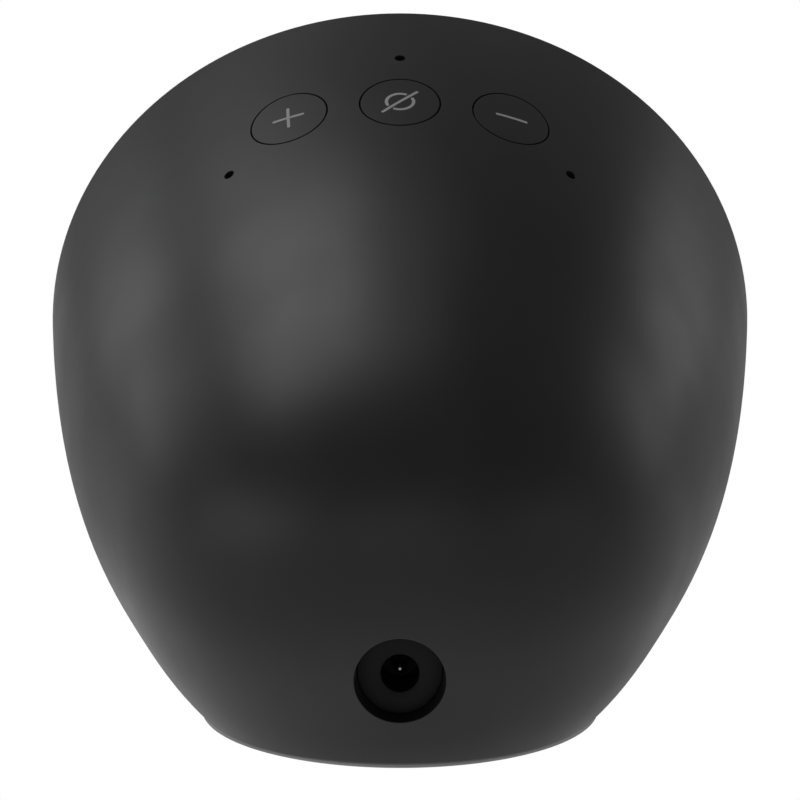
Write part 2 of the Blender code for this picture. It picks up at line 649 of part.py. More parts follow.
# ---------------------------------------------------------------- loudspeaker
driver = empty("driver_frame", Matrix.Translation((0, DRIVER_Y, -1.2 * MM)), rim)
basket = lathe(
    "speaker_basket",
    [(18.6 * MM, -3.6 * MM), (DRIVER_RADIUS, -3.6 * MM), (DRIVER_RADIUS, -4.8 * MM), (18.3 * MM, -5.1 * MM),
     (14.0 * MM, -13.4 * MM), (11.0 * MM, -14.4 * MM), (8.4 * MM, -14.4 * MM), (8.4 * MM, -13.2 * MM),
     (13.2 * MM, -12.2 * MM), (17.3 * MM, -5.1 * MM), (18.6 * MM, -4.5 * MM)],
    STEEL, driver, sides=40,
)
for number in range(4):
    turn = math.radians(45 + 90 * number)
    spot = Vector((20.4 * MM * math.cos(turn), 20.4 * MM * math.sin(turn), 0))
    ear = rod(f"add_basket_ear_{number}", 2.6 * MM, -4.8 * MM, -3.6 * MM, None, driver, sides=16)
    bore = rod(f"cut_basket_bore_{number}", 1.3 * MM, -9 * MM, 0, None, driver, sides=12)
    for piece in (ear, bore):
        piece.location = spot
    boolean(basket, ear, "UNION")
    boolean(basket, bore)
    screw(f"driver_screw_{number + 1}", driver, spot + Vector((0, 0, -3.3 * MM)), Matrix.Identity(4), 4.2 * MM,
          thick=1.0 * MM)
boolean(basket, rod("cut_basket_seat", 18.6 * MM, -4.5 * MM, 0, None, driver, sides=48))
lathe(
    "speaker_magnet",
    [(0, -22.6 * MM), (10.5 * MM, -22.6 * MM), (11.5 * MM, -21.6 * MM), (11.5 * MM, -14.7 * MM),
     (7.6 * MM, -14.7 * MM), (7.6 * MM, -20.0 * MM), (6.0 * MM, -20.0 * MM), (6.0 * MM, -13.6 * MM), (0, -13.6 * MM)],
    FERRITE, driver, sides=40,
)
lathe(
    "speaker_cone",
    [(0, -9.2 * MM), (3.4 * MM, -9.8 * MM), (6.4 * MM, -11.2 * MM), (6.4 * MM, -17.0 * MM), (7.0 * MM, -17.0 * MM),
     (7.0 * MM, -11.2 * MM), (15.0 * MM, -5.2 * MM), (14.4 * MM, -4.9 * MM), (6.4 * MM, -10.5 * MM),
     (3.4 * MM, -9.1 * MM), (0, -8.5 * MM)],
    PAPER, driver, sides=40,
)
roll = [(15.3 * MM, -4.9 * MM), (15.6 * MM, -4.2 * MM), (16.2 * MM, -3.7 * MM), (16.8 * MM, -3.5 * MM),
        (17.4 * MM, -3.7 * MM), (18.0 * MM, -4.1 * MM), (18.3 * MM, -4.1 * MM)]
lathe("speaker_surround", roll + [(r, z - 0.35 * MM) for r, z in reversed(roll)], RUBBER, driver, sides=36)

chamber = hull_solid("speaker_box", INNER_PLASTIC, WALL + 2.8 * MM, LIP_TOP + 0.5 * MM, 1.0 * MM, 6.4 * MM,
                     sides=48, rows=12, waist=12 * MM)
hollow_box = hull_solid("cut_box_hollow", None, WALL + 4.2 * MM, LIP_TOP + 2.1 * MM, 0.8 * MM, 8.0 * MM,
                        sides=40, rows=10, waist=14 * MM)
block = box("keep_box_block", (54 * MM, 60 * MM, 24 * MM), (0, CHORD - 27.5 * MM, -18.4 * MM), None, rim)
inside = box("keep_box_inside", (50.8 * MM, 60 * MM, 22 * MM), (0, CHORD - 29.1 * MM, -17.8 * MM), None, rim)
boolean(chamber, block, "INTERSECT")
boolean(hollow_box, inside, "INTERSECT")
boolean(chamber, hollow_box)
boolean(chamber, rod("cut_box_mouth", 18.8 * MM, -10 * MM, -2 * MM, None, driver, sides=48))
boolean(chamber, rod("cut_box_lead", 1.6 * MM, -36 * MM, -25 * MM, None, driver, sides=12))
for number in range(4):
    turn = math.radians(45 + 90 * number)
    boss = rod(f"add_box_boss_{number}", 2.4 * MM, -9.4 * MM, -5.9 * MM, None, driver, sides=14)
    bore = rod(f"cut_box_bore_{number}", 1.3 * MM, -8.6 * MM, -2 * MM, None, driver, sides=12)
    for piece in (boss, bore):
        piece.location = (20.6 * MM * math.cos(turn), 20.6 * MM * math.sin(turn), 0)
    bore.location = (20.4 * MM * math.cos(turn), 20.4 * MM * math.sin(turn), 0)
    boolean(chamber, boss, "UNION")
    boolean(chamber, bore)

# ---------------------------------------------------------------- base plate and foot
plate = prism("base_plate", base_outline(*PLATE), BASE_Z, PLATE_TOP, INNER_PLASTIC)
boolean(plate, prism("cut_foot_pocket", oval(FOOT_KEY, GAP), -1 * MM, KEY_TOP + GAP, None))
foot = bmesh.new()
levels = ((FOOT, 0.0), (FOOT, PAD_TOP), (FOOT_KEY, PAD_TOP), (FOOT_KEY, KEY_TOP))
join(foot, [[foot.verts.new((x, y, z)) for x, y in oval(shape)] for shape, z in levels])
finish("rubber_foot", foot, FOOT_GREY)
for number, (x, y) in enumerate(BASE_SCREWS):
    sink = lathe(
        f"cut_base_sink_{number}",
        [(0, 0), (2.3 * MM, 0), (2.3 * MM, 3.2 * MM), (1.3 * MM, 3.2 * MM), (1.3 * MM, 6 * MM), (0, 6 * MM)],
        None, None, sides=16,
    )
    sink.location = (x, y, 0)
    boolean(plate, sink)
    screw(f"base_screw_{number + 1}", None, (x, y, 2.9 * MM), Matrix.Rotation(math.pi, 4, "X"), 5.0 * MM,
          thick=0.7 * MM)

# ---------------------------------------------------------------- power inlet
housing = rod("jack_housing", JACK_FLOOR_RADIUS - GAP, -3.0 * MM, 0, INNER_PLASTIC, recess, sides=40)
boolean(housing, box("add_jack_block", (10 * MM, 9.6 * MM, 10 * MM), (0, 0.4 * MM, -7.6 * MM), None, jack), "UNION")
jack_bore = lathe(
    "cut_jack_bore",
    [(0, -14 * MM), (1.35 * MM, -14 * MM), (1.35 * MM, -8.6 * MM), (JACK_BORE, -8.6 * MM), (JACK_BORE, -0.2 * MM),
     (JACK_BORE + 0.4 * MM, 0.2 * MM), (JACK_BORE + 0.4 * MM, 3 * MM), (0, 3 * MM)],
    None, jack, sides=28,
)
boolean(housing, jack_bore)
boolean(housing, box("cut_jack_slot", (1.9 * MM, 1.6 * MM, 6.8 * MM), (0, -2.95 * MM, -4.8 * MM), None, jack))
lathe(
    "jack_pin",
    [(0, -13.6 * MM), (JACK_PIN, -13.6 * MM), (JACK_PIN, -PIN_DEPTH - 1.0 * MM),
     (0.9 * MM, -PIN_DEPTH - 0.5 * MM), (0.55 * MM, -PIN_DEPTH - 0.15 * MM), (0, -PIN_DEPTH)],
    CONTACT, jack, sides=20,
)
strip("jack_spring", [(0, -3.3 * MM, -7.8 * MM), (0, -2.85 * MM, -4.8 * MM), (0, -3.25 * MM, -1.9 * MM)],
      1.2 * MM, 0.3 * MM, CONTACT, jack)

# ---------------------------------------------------------------- leads, flexible strips and antennas
lead("jack_lead", [(0.0, 31.5 * MM, 13.5 * MM), (1 * MM, 24 * MM, 15 * MM), (6 * MM, 8 * MM, 30 * MM),
                   (10.5 * MM, -7 * MM, 46 * MM), (11 * MM, -18.9 * MM, 52.8 * MM)], 1.1 * MM, LEAD_BLACK, None)
lead("speaker_lead", [(0, -24.5 * MM, -26.8 * MM), (0, -24.5 * MM, -33.0 * MM), (6 * MM, -12 * MM, -36 * MM),
                      (15 * MM, 2 * MM, -27 * MM), (17 * MM, 8.6 * MM, -16.9 * MM)], 0.8 * MM, LEAD_BLACK, rim)
strip("display_flex", [(0, 0.7 * MM, -3.9 * MM), (0, 0.7 * MM, -8.0 * MM), (0, 1.0 * MM, -11.0 * MM)],
      12 * MM, 0.2 * MM, FLEX_AMBER, rim)
strip("button_flex", [(0, 47.2 * MM, -10.2 * MM), (0, 45.0 * MM, -9.4 * MM), (0, 40.0 * MM, -10.2 * MM),
                      (0, 36.5 * MM, -11.8 * MM)], 8 * MM, 0.2 * MM, FLEX_AMBER, rim)
for name, start in (("right", 52), ("left", -84)):
    patch(f"antenna_{name}", FLEX_AMBER, WALL + 0.4 * MM, WALL + 0.7 * MM, (24 * MM, 46 * MM),
          (start, start + 32), 3, 8, rim)
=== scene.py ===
"""Smart home hub: detailed surfaces, materials, floor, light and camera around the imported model.

World axes: X to the right seen from the front, Y to the back, Z up, floor at Z = 0, front facing -Y.
The front disc leans back. Its own frame (FROM_RIM) has local Z along the disc's outward normal,
local Y up the disc, and the dome runs towards local -Z.
"""
import math

import bmesh
import bpy
import numpy as np
from mathutils import Matrix, Vector


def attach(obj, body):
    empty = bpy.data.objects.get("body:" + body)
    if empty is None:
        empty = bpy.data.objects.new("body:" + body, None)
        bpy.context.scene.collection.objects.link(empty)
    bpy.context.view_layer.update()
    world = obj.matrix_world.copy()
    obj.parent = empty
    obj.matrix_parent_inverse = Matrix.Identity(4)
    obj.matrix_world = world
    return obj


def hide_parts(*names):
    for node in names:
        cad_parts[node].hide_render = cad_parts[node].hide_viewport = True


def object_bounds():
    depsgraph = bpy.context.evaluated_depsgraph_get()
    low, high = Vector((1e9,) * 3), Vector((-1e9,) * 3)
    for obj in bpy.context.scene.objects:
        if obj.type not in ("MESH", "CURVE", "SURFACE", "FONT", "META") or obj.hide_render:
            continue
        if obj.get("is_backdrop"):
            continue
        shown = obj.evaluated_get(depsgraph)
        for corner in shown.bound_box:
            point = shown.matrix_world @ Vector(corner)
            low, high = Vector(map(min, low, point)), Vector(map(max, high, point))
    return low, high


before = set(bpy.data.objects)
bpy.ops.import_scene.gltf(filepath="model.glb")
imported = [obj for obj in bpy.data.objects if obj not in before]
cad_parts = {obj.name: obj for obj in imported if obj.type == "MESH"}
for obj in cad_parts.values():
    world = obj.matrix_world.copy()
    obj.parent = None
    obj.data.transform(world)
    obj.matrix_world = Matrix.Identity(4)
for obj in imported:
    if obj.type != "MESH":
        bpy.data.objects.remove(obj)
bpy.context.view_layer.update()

MM = 0.001

# ---------------------------------------------------------------- dimensions shared with the CAD
RIM_RADIUS = 56.5 * MM
LEAN = math.radians(18.8)
RIM_CENTRE = Vector((0.0, -38.9 * MM, 49.5 * MM))
DOME_LENGTH = 97.0 * MM
# Poles of the dome's half profile, as (distance behind the rim, radius).
DOME_POLES = [
    (0.0, RIM_RADIUS),
    (78.4 * MM, 48.6 * MM),
    (38.5 * MM, 35.4 * MM),
    (DOME_LENGTH, 50.8 * MM),
    (DOME_LENGTH, 0.0),
]
BASE_Z = 1.4 * MM
BASE_ROUND = 0.9 * MM
WALL = 2.0 * MM
GAP = 0.3 * MM

BUTTON_S = 25.6 * MM
BUTTON_ANGLE = math.radians(18.25)
BUTTON_RADIUS = 5.8 * MM
BUTTON_FLANGE = 7.1 * MM
FLANGE_DEPTH = 3.0 * MM
CARRIER_ANGLES = (-41.0, 41.0)
MICS = [("centre", 13.8 * MM, 0.0), ("right", 33.6 * MM, 29.3), ("left", 33.6 * MM, -29.3)]
MIC_HOLE = 0.8 * MM

JACK_Z = 15.95 * MM
RECESS_RISE = 0.45 * MM
RECESS_TALL = 1.05
JACK_MOUTH = 6.35 * MM
JACK_FLOOR_RADIUS = 6.05 * MM
JACK_FLOOR_Y = RIM_CENTRE.y + 84.9 * MM
JACK_BORE = 2.68 * MM
JACK_PIN = 1.05 * MM
JACK_DEPTH = 8.6 * MM
PIN_DEPTH = 2.2 * MM
PIN_ROOT = 13.6 * MM

CHORD = -6.0 * MM
GRILLE_FOOT = -43.2 * MM
RECESS = (1.7 * MM, 5.0 * MM)
PLATE = (1.95 * MM, 5.3 * MM)
OPENING = (7.0 * MM, 12.0 * MM)
PLATE_TOP = 3.9 * MM
LIP_TOP = 5.4 * MM
FOOT = (30.0 * MM, 31.2 * MM, 43.4 * MM, 8.0 * MM)  # half width, reach back, reach forward, centre
FOOT_KEY = (19.0 * MM, 30.0 * MM, 30.0 * MM, 2.6 * MM)
KEY_TOP = 1.8 * MM
BASE_MIDDLE = -6.0 * MM  # the underside's outline is measured round this Y
BASE_SCREW = (5.2 * MM, 9.5 * MM)
BASE_SCREW_TURNS = (90, 205, 335)

# ---------------------------------------------------------------- detail that only shows here
RIM_FILLET = 0.45 * MM
BUTTON_GAP = 0.24 * MM
HOLE_FILLET = 0.05 * MM
CAP_FILLET = 0.06 * MM
MOUTH_FILLET = 0.22 * MM
PRINT_HEIGHT = 0.02 * MM
STROKE = 0.24 * MM  # half width of a printed line
LEAD_LENGTH = 26.0 * MM  # how far the dome's profile runs on past the rim, as a cone
BEYOND = 60.0 * MM  # above the disc, so that an outline keeps its whole arc

FROM_RIM = Matrix.Translation(RIM_CENTRE) @ Matrix.Rotation(math.pi / 2 - LEAN, 4, "X")
TO_RIM = FROM_RIM.inverted()
JACK = Matrix.Translation((0, JACK_FLOOR_Y, JACK_Z)) @ Matrix.Rotation(-math.pi / 2, 4, "X")
POCKET = JACK @ Matrix.Translation((0, -RECESS_RISE, 0)) @ Matrix.Diagonal((1, RECESS_TALL, 1, 1))


# ---------------------------------------------------------------- profile of the dome
def dome_point(t):
    """A point (s, r) of the half profile, and its outward unit normal."""
    poles = np.array(DOME_POLES)
    count = len(poles) - 1
    weight = [math.comb(count, i) * (1 - t) ** (count - i) * t**i for i in range(count + 1)]
    slope = [
        count * math.comb(count - 1, i) * (1 - t) ** (count - 1 - i) * t**i for i in range(count)
    ]
    point = np.array(weight) @ poles
    tangent = np.array(slope) @ np.diff(poles, axis=0)
    tangent /= np.hypot(*tangent)
    return point, np.array((-tangent[1], tangent[0]))


def dome_at(s):
    """The profile's point and normal at distance s behind the rim."""
    low, high = 0.0, 1.0
    for _ in range(50):
        middle = (low + high) / 2
        if dome_point(middle)[0][0] < s:
            low = middle
        else:
            high = middle
    return dome_point(low)


FINE = [dome_point(t) for t in np.linspace(0, 1, 480)]
LEAD = FINE[0][0] - LEAD_LENGTH * np.array((FINE[0][1][1], -FINE[0][1][0]))
CURVE = np.array([LEAD] + [p for p, _ in FINE] + [FINE[-2][0] * (1, -1)])
CURVE_NORMALS = np.array([FINE[0][1]] + [n for _, n in FINE] + [FINE[-2][1] * (1, -1)])


def dome_field(points):
    """Signed distance from the dome's surface, negative inside, and its outward normal, at world points."""
    points = np.asarray(points, float).reshape(-1, 3)
    turn = np.array(TO_RIM)
    local = points @ turn[:3, :3].T + turn[:3, 3]
    radius = np.hypot(local[:, 0], local[:, 1])
    distance, normal = np.empty(len(points)), np.empty((len(points), 3))
    start, along = CURVE[:-1], np.diff(CURVE, axis=0)
    for first in range(0, len(points), 4000):
        some = slice(first, first + 4000)
        place = np.stack((-local[some, 2], radius[some]), 1)[:, None, :]
        share = np.clip(((place - start) * along).sum(2) / (along**2).sum(1), 0, 1)
        away = place - start - along * share[..., None]
        nearest = (away**2).sum(2).argmin(1)
        row = np.arange(len(nearest))
        part, step = away[row, nearest], along[nearest]
        side = np.sign(step[:, 0] * part[:, 1] - step[:, 1] * part[:, 0])
        distance[some] = np.hypot(part[:, 0], part[:, 1]) * side
        mix = share[row, nearest][:, None]
        flat = CURVE_NORMALS[nearest] * (1 - mix) + CURVE_NORMALS[nearest + 1] * mix
        flat /= np.linalg.norm(flat, axis=1)[:, None]
        spoke = local[some, :2] / np.maximum(radius[some], 1e-12)[:, None]
        normal[some] = np.column_stack((spoke * flat[:, 1:2], -flat[:, 0]))
    return distance, normal @ turn[:3, :3]


def dome_distance(point):
    """Signed distance of one point."""
    return float(dome_field([point])[0][0])


def surface_frame(s, angle, depth=0.0):
    """World matrix on the dome: Z out of the surface, Y towards the rim, X across."""
    (along, radius), (n_s, n_r) = dome_at(s)
    out = Vector((math.sin(angle), math.cos(angle), 0.0))
    normal = (out * n_r + Vector((0, 0, -1)) * n_s).normalized()
    across = Vector((-math.cos(angle), math.sin(angle), 0.0))
    place = out * radius + Vector((0, 0, -along)) - normal * depth
    turn = Matrix((across, normal.cross(across), normal)).transposed().to_4x4()
    return FROM_RIM @ Matrix.Translation(place) @ turn


# ---------------------------------------------------------------- mesh helpers
def finish(name, bm, place=None, sharp=35.0):
    """A linked object from this mesh, its vertices moved by the matrix into the world."""
    bmesh.ops.remove_doubles(bm, verts=bm.verts, dist=1e-7)
    bmesh.ops.recalc_face_normals(bm, faces=bm.faces)
    if place is not None:
        bm.transform(place)
    mesh = bpy.data.meshes.new(name)
    bm.to_mesh(mesh)
    bm.free()
    mesh.shade_smooth()
    mesh.set_sharp_from_angle(angle=math.radians(sharp))
    made = bpy.data.objects.new(name, mesh)
    bpy.context.collection.objects.link(made)
    return made


def join(bm, rings, closed_rows=False):
    """Faces between rings of equal length, with caps on the end rings unless the rows close up."""
    count = len(rings[0])
    pairs = list(zip(rings, rings[1:]))
    if closed_rows:
        pairs.append((rings[-1], rings[0]))
    for lower, upper in pairs:
        for i in range(count):
            j = (i + 1) % count
            unique = list(dict.fromkeys((lower[i], lower[j], upper[j], upper[i])))
            if len(unique) > 2:
                bm.faces.new(unique)
    if not closed_rows:
        for ring in (rings[0], rings[-1]):
            if len(set(ring)) > 2:
                bm.faces.new(ring)


def lathe(name, profile, place=None, sides=64, sharp=35.0):
    """A profile of (radius, height) turned about the matrix's Z. It may start and end on the axis."""
    bm = bmesh.new()
    on_axis = profile[0][0] == 0 and profile[-1][0] == 0
    turns = [2 * math.pi * i / sides for i in range(sides)]
    rings = []
    for radius, height in profile:
        if radius == 0:
            rings.append([bm.verts.new((0, 0, height))] * sides)
        else:
            rings.append(
                [bm.verts.new((radius * math.cos(a), radius * math.sin(a), height)) for a in turns]
            )
    join(bm, rings, closed_rows=not on_axis)
    return finish(name, bm, place, sharp)


def stack(name, levels, place=None, sharp=35.0):
    """A closed solid through flat outlines of equal length, each at its own height."""
    bm = bmesh.new()
    join(bm, [[bm.verts.new((x, y, z)) for x, y in outline] for outline, z in levels])
    return finish(name, bm, place, sharp)


def apply(made):
    """Makes the object's modifiers part of its mesh."""
    graph = bpy.context.evaluated_depsgraph_get()
    mesh = bpy.data.meshes.new_from_object(made.evaluated_get(graph))
    made.modifiers.clear()
    made.data = mesh
    mesh.name = made.name


def carve(target, tools):
    """Cuts, adds or keeps each (operation, tool) in turn, and removes the tools."""
    for operation, tool in tools:
        made = target.modifiers.new(tool.name, "BOOLEAN")
        made.object = tool
        made.operation = operation
        made.solver = "MANIFOLD"
    bpy.context.view_layer.update()
    apply(target)
    for _, tool in tools:
        bpy.data.objects.remove(tool)
    return target


def polish(made, sharp=35.0, within=0.022 * MM, facing=0.75):
    """Shading normals: exact ones wherever the mesh lies on the dome, smoothed ones elsewhere."""
    mesh = made.data
    mesh.shade_smooth()
    mesh.set_sharp_from_angle(angle=math.radians(sharp))
    mesh.update()
    places = np.empty(len(mesh.vertices) * 3)
    mesh.vertices.foreach_get("co", places)
    distance, exact = dome_field(places)
    corners = np.empty(len(mesh.loops), int)
    mesh.loops.foreach_get("vertex_index", corners)
    normals = np.empty(len(mesh.loops) * 3)
    mesh.corner_normals.foreach_get("vector", normals)
    normals = normals.reshape(-1, 3)
    flat = np.empty(len(mesh.polygons) * 3)
    mesh.polygons.foreach_get("normal", flat)
    sizes = np.empty(len(mesh.polygons), int)
    mesh.polygons.foreach_get("loop_total", sizes)
    flat = np.repeat(flat.reshape(-1, 3), sizes, axis=0)
    on_dome = (np.abs(distance[corners]) < within) & ((flat * exact[corners]).sum(1) > facing)
    normals[on_dome] = exact[corners][on_dome]
    mesh.normals_split_custom_set(normals.tolist())
    return made


def arc_outline(radius, low, high, corner, steps=64, turns=8):
    """The part of a disc between two horizontal lines, with rounded corners, from bottom to top and back."""
    right = []
    start, end = -math.pi / 2, math.pi / 2
    if low > -radius:
        x = math.sqrt((radius - corner) ** 2 - (low + corner) ** 2)
        start = math.atan2(low + corner, x)
        for i in range(turns):
            turn = -math.pi / 2 + (start + math.pi / 2) * i / turns
            right.append((x + corner * math.cos(turn), low + corner + corner * math.sin(turn)))
    if high < radius:
        x = math.sqrt((radius - corner) ** 2 - (high - corner) ** 2)
        end = math.atan2(high - corner, x)
    for i in range(steps + 1):
        turn = start + (end - start) * i / steps
        right.append((radius * math.cos(turn), radius * math.sin(turn)))
    if high < radius:
        for i in range(1, turns + 1):
            turn = end + (math.pi / 2 - end) * i / turns
            right.append((x + corner * math.cos(turn), high - corner + corner * math.sin(turn)))
    return right + [(-x, y) for x, y in reversed(right) if x > 1e-7]


def quarter(steps, upto=90.0):
    """(1 - cos, sin) along a quarter turn: how far a rounded edge has come in, and gone up."""
    turns = [math.radians(upto) * i / steps for i in range(steps + 1)]
    return [(1 - math.cos(a), math.sin(a)) for a in turns]


# ---------------------------------------------------------------- the dome with its flat underside
def ordered_loop(bm):
    """The vertices of the mesh's one open boundary, in order."""
    edges = [e for e in bm.edges if e.is_boundary]
    following = {}
    for edge in edges:
        for a, b in (edge.verts, reversed(edge.verts)):
            following.setdefault(a, []).append(b)
    start = edges[0].verts[0]
    loop, previous = [start], None
    while True:
        onward = [v for v in following[loop[-1]] if v is not previous]
        previous = loop[-1]
        if onward[0] is start and len(loop) > 2:
            return loop
        loop.append(onward[0])


def hull_solid(name, depth, base, roll, front, sides, rows, waist, rolls=6, fillet=0.0):
    """The dome moved inwards by depth, cut off by the underside at height base and by a plane
    this far behind the rim. The underside's edge is rolled over, and the rim's is rounded."""
    bm = bmesh.new()
    profile = [tuple(FINE[0][0] + (LEAD - FINE[0][0]) * f - (0, depth)) for f in (1, 0.5, 0.2, 0.06)]
    travel = np.concatenate([[0], np.cumsum(np.hypot(*np.diff([p for p, _ in FINE], axis=0).T))])
    for i in range(rows):
        nearest = int(np.abs(travel - travel[-1] * i / rows).argmin())
        point, normal = FINE[nearest]
        profile.append(tuple(point - normal * depth))
    turns = [2 * math.pi * i / sides for i in range(sides)]
    rings = []
    for s, radius in profile:
        spots = [(radius * math.sin(a), radius * math.cos(a), -s) for a in turns]
        rings.append([bm.verts.new(FROM_RIM @ Vector(spot)) for spot in spots])
    rings.append([bm.verts.new(FROM_RIM @ Vector((0, 0, depth - DOME_LENGTH)))] * sides)
    join(bm, rings)
    bmesh.ops.bisect_plane(
        bm, geom=bm.verts[:] + bm.edges[:] + bm.faces[:], plane_co=(0, 0, waist), plane_no=(0, 0, 1),
        clear_inner=True, dist=1e-6,
    )
    bmesh.ops.remove_doubles(bm, verts=bm.verts, dist=0.12 * MM)
    loop = ordered_loop(bm)
    spots = np.array([v.co[:] for v in loop])
    ahead = spots[:, 1] < (FROM_RIM @ Vector((0, -40 * MM, 12 * MM))).y
    chord = np.roll(spots, -1, axis=0) - np.roll(spots, 1, axis=0)
    inward = np.column_stack((-chord[:, 1], chord[:, 0], np.zeros(len(loop))))
    onward = np.roll(spots, -1, axis=0)
    turned = (spots[:, 0] * onward[:, 1] - onward[:, 0] * spots[:, 1]).sum()
    inward *= math.copysign(1, turned) / np.linalg.norm(inward, axis=1)[:, None]
    levels = [waist + (base + roll - waist) * f for f in (0.2, 0.4, 0.6, 0.75, 0.88, 1.0)]
    levels += [base + roll * (1 - math.sin(math.pi / 2 * i / rolls)) for i in range(1, rolls)]
    levels.append(base)
    rings = [loop]
    for height in levels:
        near, far = np.zeros(len(loop)), np.full(len(loop), 24 * MM)
        for _ in range(34):
            reach = (near + far) / 2
            place = spots + inward * reach[:, None]
            place[:, 2] = height
            a, b = dome_field(place)[0] + depth, base - height
            if height == base:
                outside = a > -roll
            elif b > -roll:
                outside = np.where(a > -roll, np.hypot(a + roll, b + roll) > roll, False)
            else:
                outside = a > 0
            outside = np.where(ahead, reach < 0.5 * (waist - height), outside)
            near, far = np.where(outside, reach, near), np.where(outside, far, reach)
        place = spots + inward * near[:, None]
        rings.append([bm.verts.new((x, y, height)) for x, y in place[:, :2]])
    for lower, upper in zip(rings, rings[1:]):
        for i in range(len(loop)):
            j = (i + 1) % len(loop)
            bm.faces.new((lower[i], lower[j], upper[j], upper[i]))
    bm.faces.new(rings[-1])
    bmesh.ops.recalc_face_normals(bm, faces=bm.faces)
    out = FROM_RIM.to_3x3() @ Vector((0, 0, 1))
    bmesh.ops.bisect_plane(
        bm, geom=bm.verts[:] + bm.edges[:] + bm.faces[:], plane_co=FROM_RIM @ Vector((0, 0, -front)),
        plane_no=out, clear_outer=True, dist=1e-6,
    )
    bmesh.ops.holes_fill(bm, edges=[e for e in bm.edges if e.is_boundary], sides=0)
    if fillet:
        edge = [e for e in bm.edges if any(f.normal.dot(out) > 0.999 for f in e.link_faces)]
        bmesh.ops.bevel(bm, geom=edge, offset=fillet, segments=5, affect="EDGES", profile=0.5)
    return finish(name, bm, None, sharp=32.0)


def base_point(turn, depth, front, corner=5 * MM):
    """Where the outline on the underside, this far below the dome and behind the rim, lies at this angle."""
    near, far = 0.0, 70 * MM
    for _ in range(36):
        reach = (near + far) / 2
        place = Vector((reach * math.cos(turn), BASE_MIDDLE + reach * math.sin(turn), BASE_Z))
        a, b = dome_distance(place) + depth, (TO_RIM @ place).z + front
        if a > -corner and b > -corner:
            inside = math.hypot(a + corner, b + corner) < corner
        else:
            inside = max(a, b) < 0
        if inside:
            near = reach
        else:
            far = reach
    return near * math.cos(turn), BASE_MIDDLE + near * math.sin(turn)


def base_outline(depth, front, steps=96):
    """The whole outline that base_point gives."""
    return [base_point(2 * math.pi * i / steps, depth, front) for i in range(steps)]


def screw_places():
    """World matrices on the floor, below the screws of the base plate."""
    spots = [base_point(math.radians(turn), *BASE_SCREW) for turn in BASE_SCREW_TURNS]
    return [Matrix.Translation((x, y, 0)) for x, y in spots]


def oval(shape, grow=0.0, steps=144):
    """An outline with half width, reach back, reach forward and centre, grown by this much."""
    width, back, ahead, centre = shape
    outline = []
    for i in range(steps):
        turn = 2 * math.pi * i / steps
        reach = back if math.sin(turn) > 0 else ahead
        outline.append(((width + grow) * math.cos(turn), centre + (reach + grow) * math.sin(turn)))
    return outline


def draped(bm, place, spots, offset):
    """Vertices at (x, y) spots of a surface frame, each this far above the dome's surface."""
    local = np.array([(x, y, 0.0) for x, y in spots])
    turn = np.array(place)
    for _ in range(8):
        world = local @ turn[:3, :3].T + turn[:3, 3]
        local[:, 2] -= dome_field(world)[0] - offset
    return [bm.verts.new(spot) for spot in local]


def circle(radius, sides):
    """Spots round a circle."""
    turns = [2 * math.pi * i / sides for i in range(sides)]
    return [(radius * math.cos(a), radius * math.sin(a)) for a in turns]


def hole_tool(name, place, radius, fillet, deep, sides=96):
    """A cutter for a round hole, through deep's (radius, height) rings to a mouth rounded along the dome."""
    bm = bmesh.new()
    rings = [[bm.verts.new((x, y, z)) for x, y in circle(reach, sides)] for reach, z in deep]
    for out, up in quarter(5, 78.0):
        rings.append(draped(bm, place, circle(radius + fillet * out, sides), fillet * (up - 1)))
    rings.append(draped(bm, place, circle(radius + fillet * 2.2, sides), fillet * 0.35))
    rings.append(draped(bm, place, circle(radius + fillet * 3, sides), 3 * MM))
    join(bm, rings)
    return finish(name, bm, place)


def rod(name, radius, low, high, place, sides=48):
    """A cylinder along the matrix's Z."""
    return lathe(name, [(0, low), (radius, low), (radius, high), (0, high)], place, sides)


def ribbon(name, place, path, half, ends=6, low=-0.08 * MM, high=PRINT_HEIGHT):
    """A printed line along a path of (x, y) spots, with rounded ends, lying on the dome."""
    path = [Vector(spot) for spot in path]
    rows = []
    for i, spot in enumerate(path):
        onward = (path[min(i + 1, len(path) - 1)] - path[max(i - 1, 0)]).normalized()
        side = Vector((-onward.y, onward.x)) * half
        rows.append((spot + side, spot - side))
    start, end = [], []
    for i in range(1, ends):
        turn = math.pi / 2 * i / ends
        for tip, back, kept in ((path[0], path[1], start), (path[-1], path[-2], end)):
            onward = (tip - back).normalized() * half * math.sin(turn)
            side = Vector((-onward.y, onward.x)).normalized() * half * math.cos(turn)
            side *= 1 if kept is end else -1
            kept.append((tip + onward + side, tip + onward - side))
    rows = start[::-1] + rows + end
    count = len(rows)
    spots = [a for a, _ in rows] + [b for _, b in rows]
    bm = bmesh.new()
    lower, upper = draped(bm, place, spots, low), draped(bm, place, spots, high)
    for i in range(count - 1):
        j = i + 1
        bm.faces.new((upper[i], upper[j], upper[count + j], upper[count + i]))
        bm.faces.new((lower[i], lower[count + i], lower[count + j], lower[j]))
        bm.faces.new((upper[i], lower[i], lower[j], upper[j]))
        bm.faces.new((upper[count + i], upper[count + j], lower[count + j], lower[count + i]))
    for i in (0, count - 1):
        bm.faces.new((upper[i], upper[count + i], lower[count + i], lower[i]))
    return finish(name, bm, place, sharp=60.0)


def merge(name, parts):
    """One object from several."""
    bm = bmesh.new()
    for part in parts:
        bm.from_mesh(part.data)
        bpy.data.objects.remove(part)
    mesh = bpy.data.meshes.new(name)
    bm.to_mesh(mesh)
    bm.free()
    made = bpy.data.objects.new(name, mesh)
    bpy.context.collection.objects.link(made)
    return made


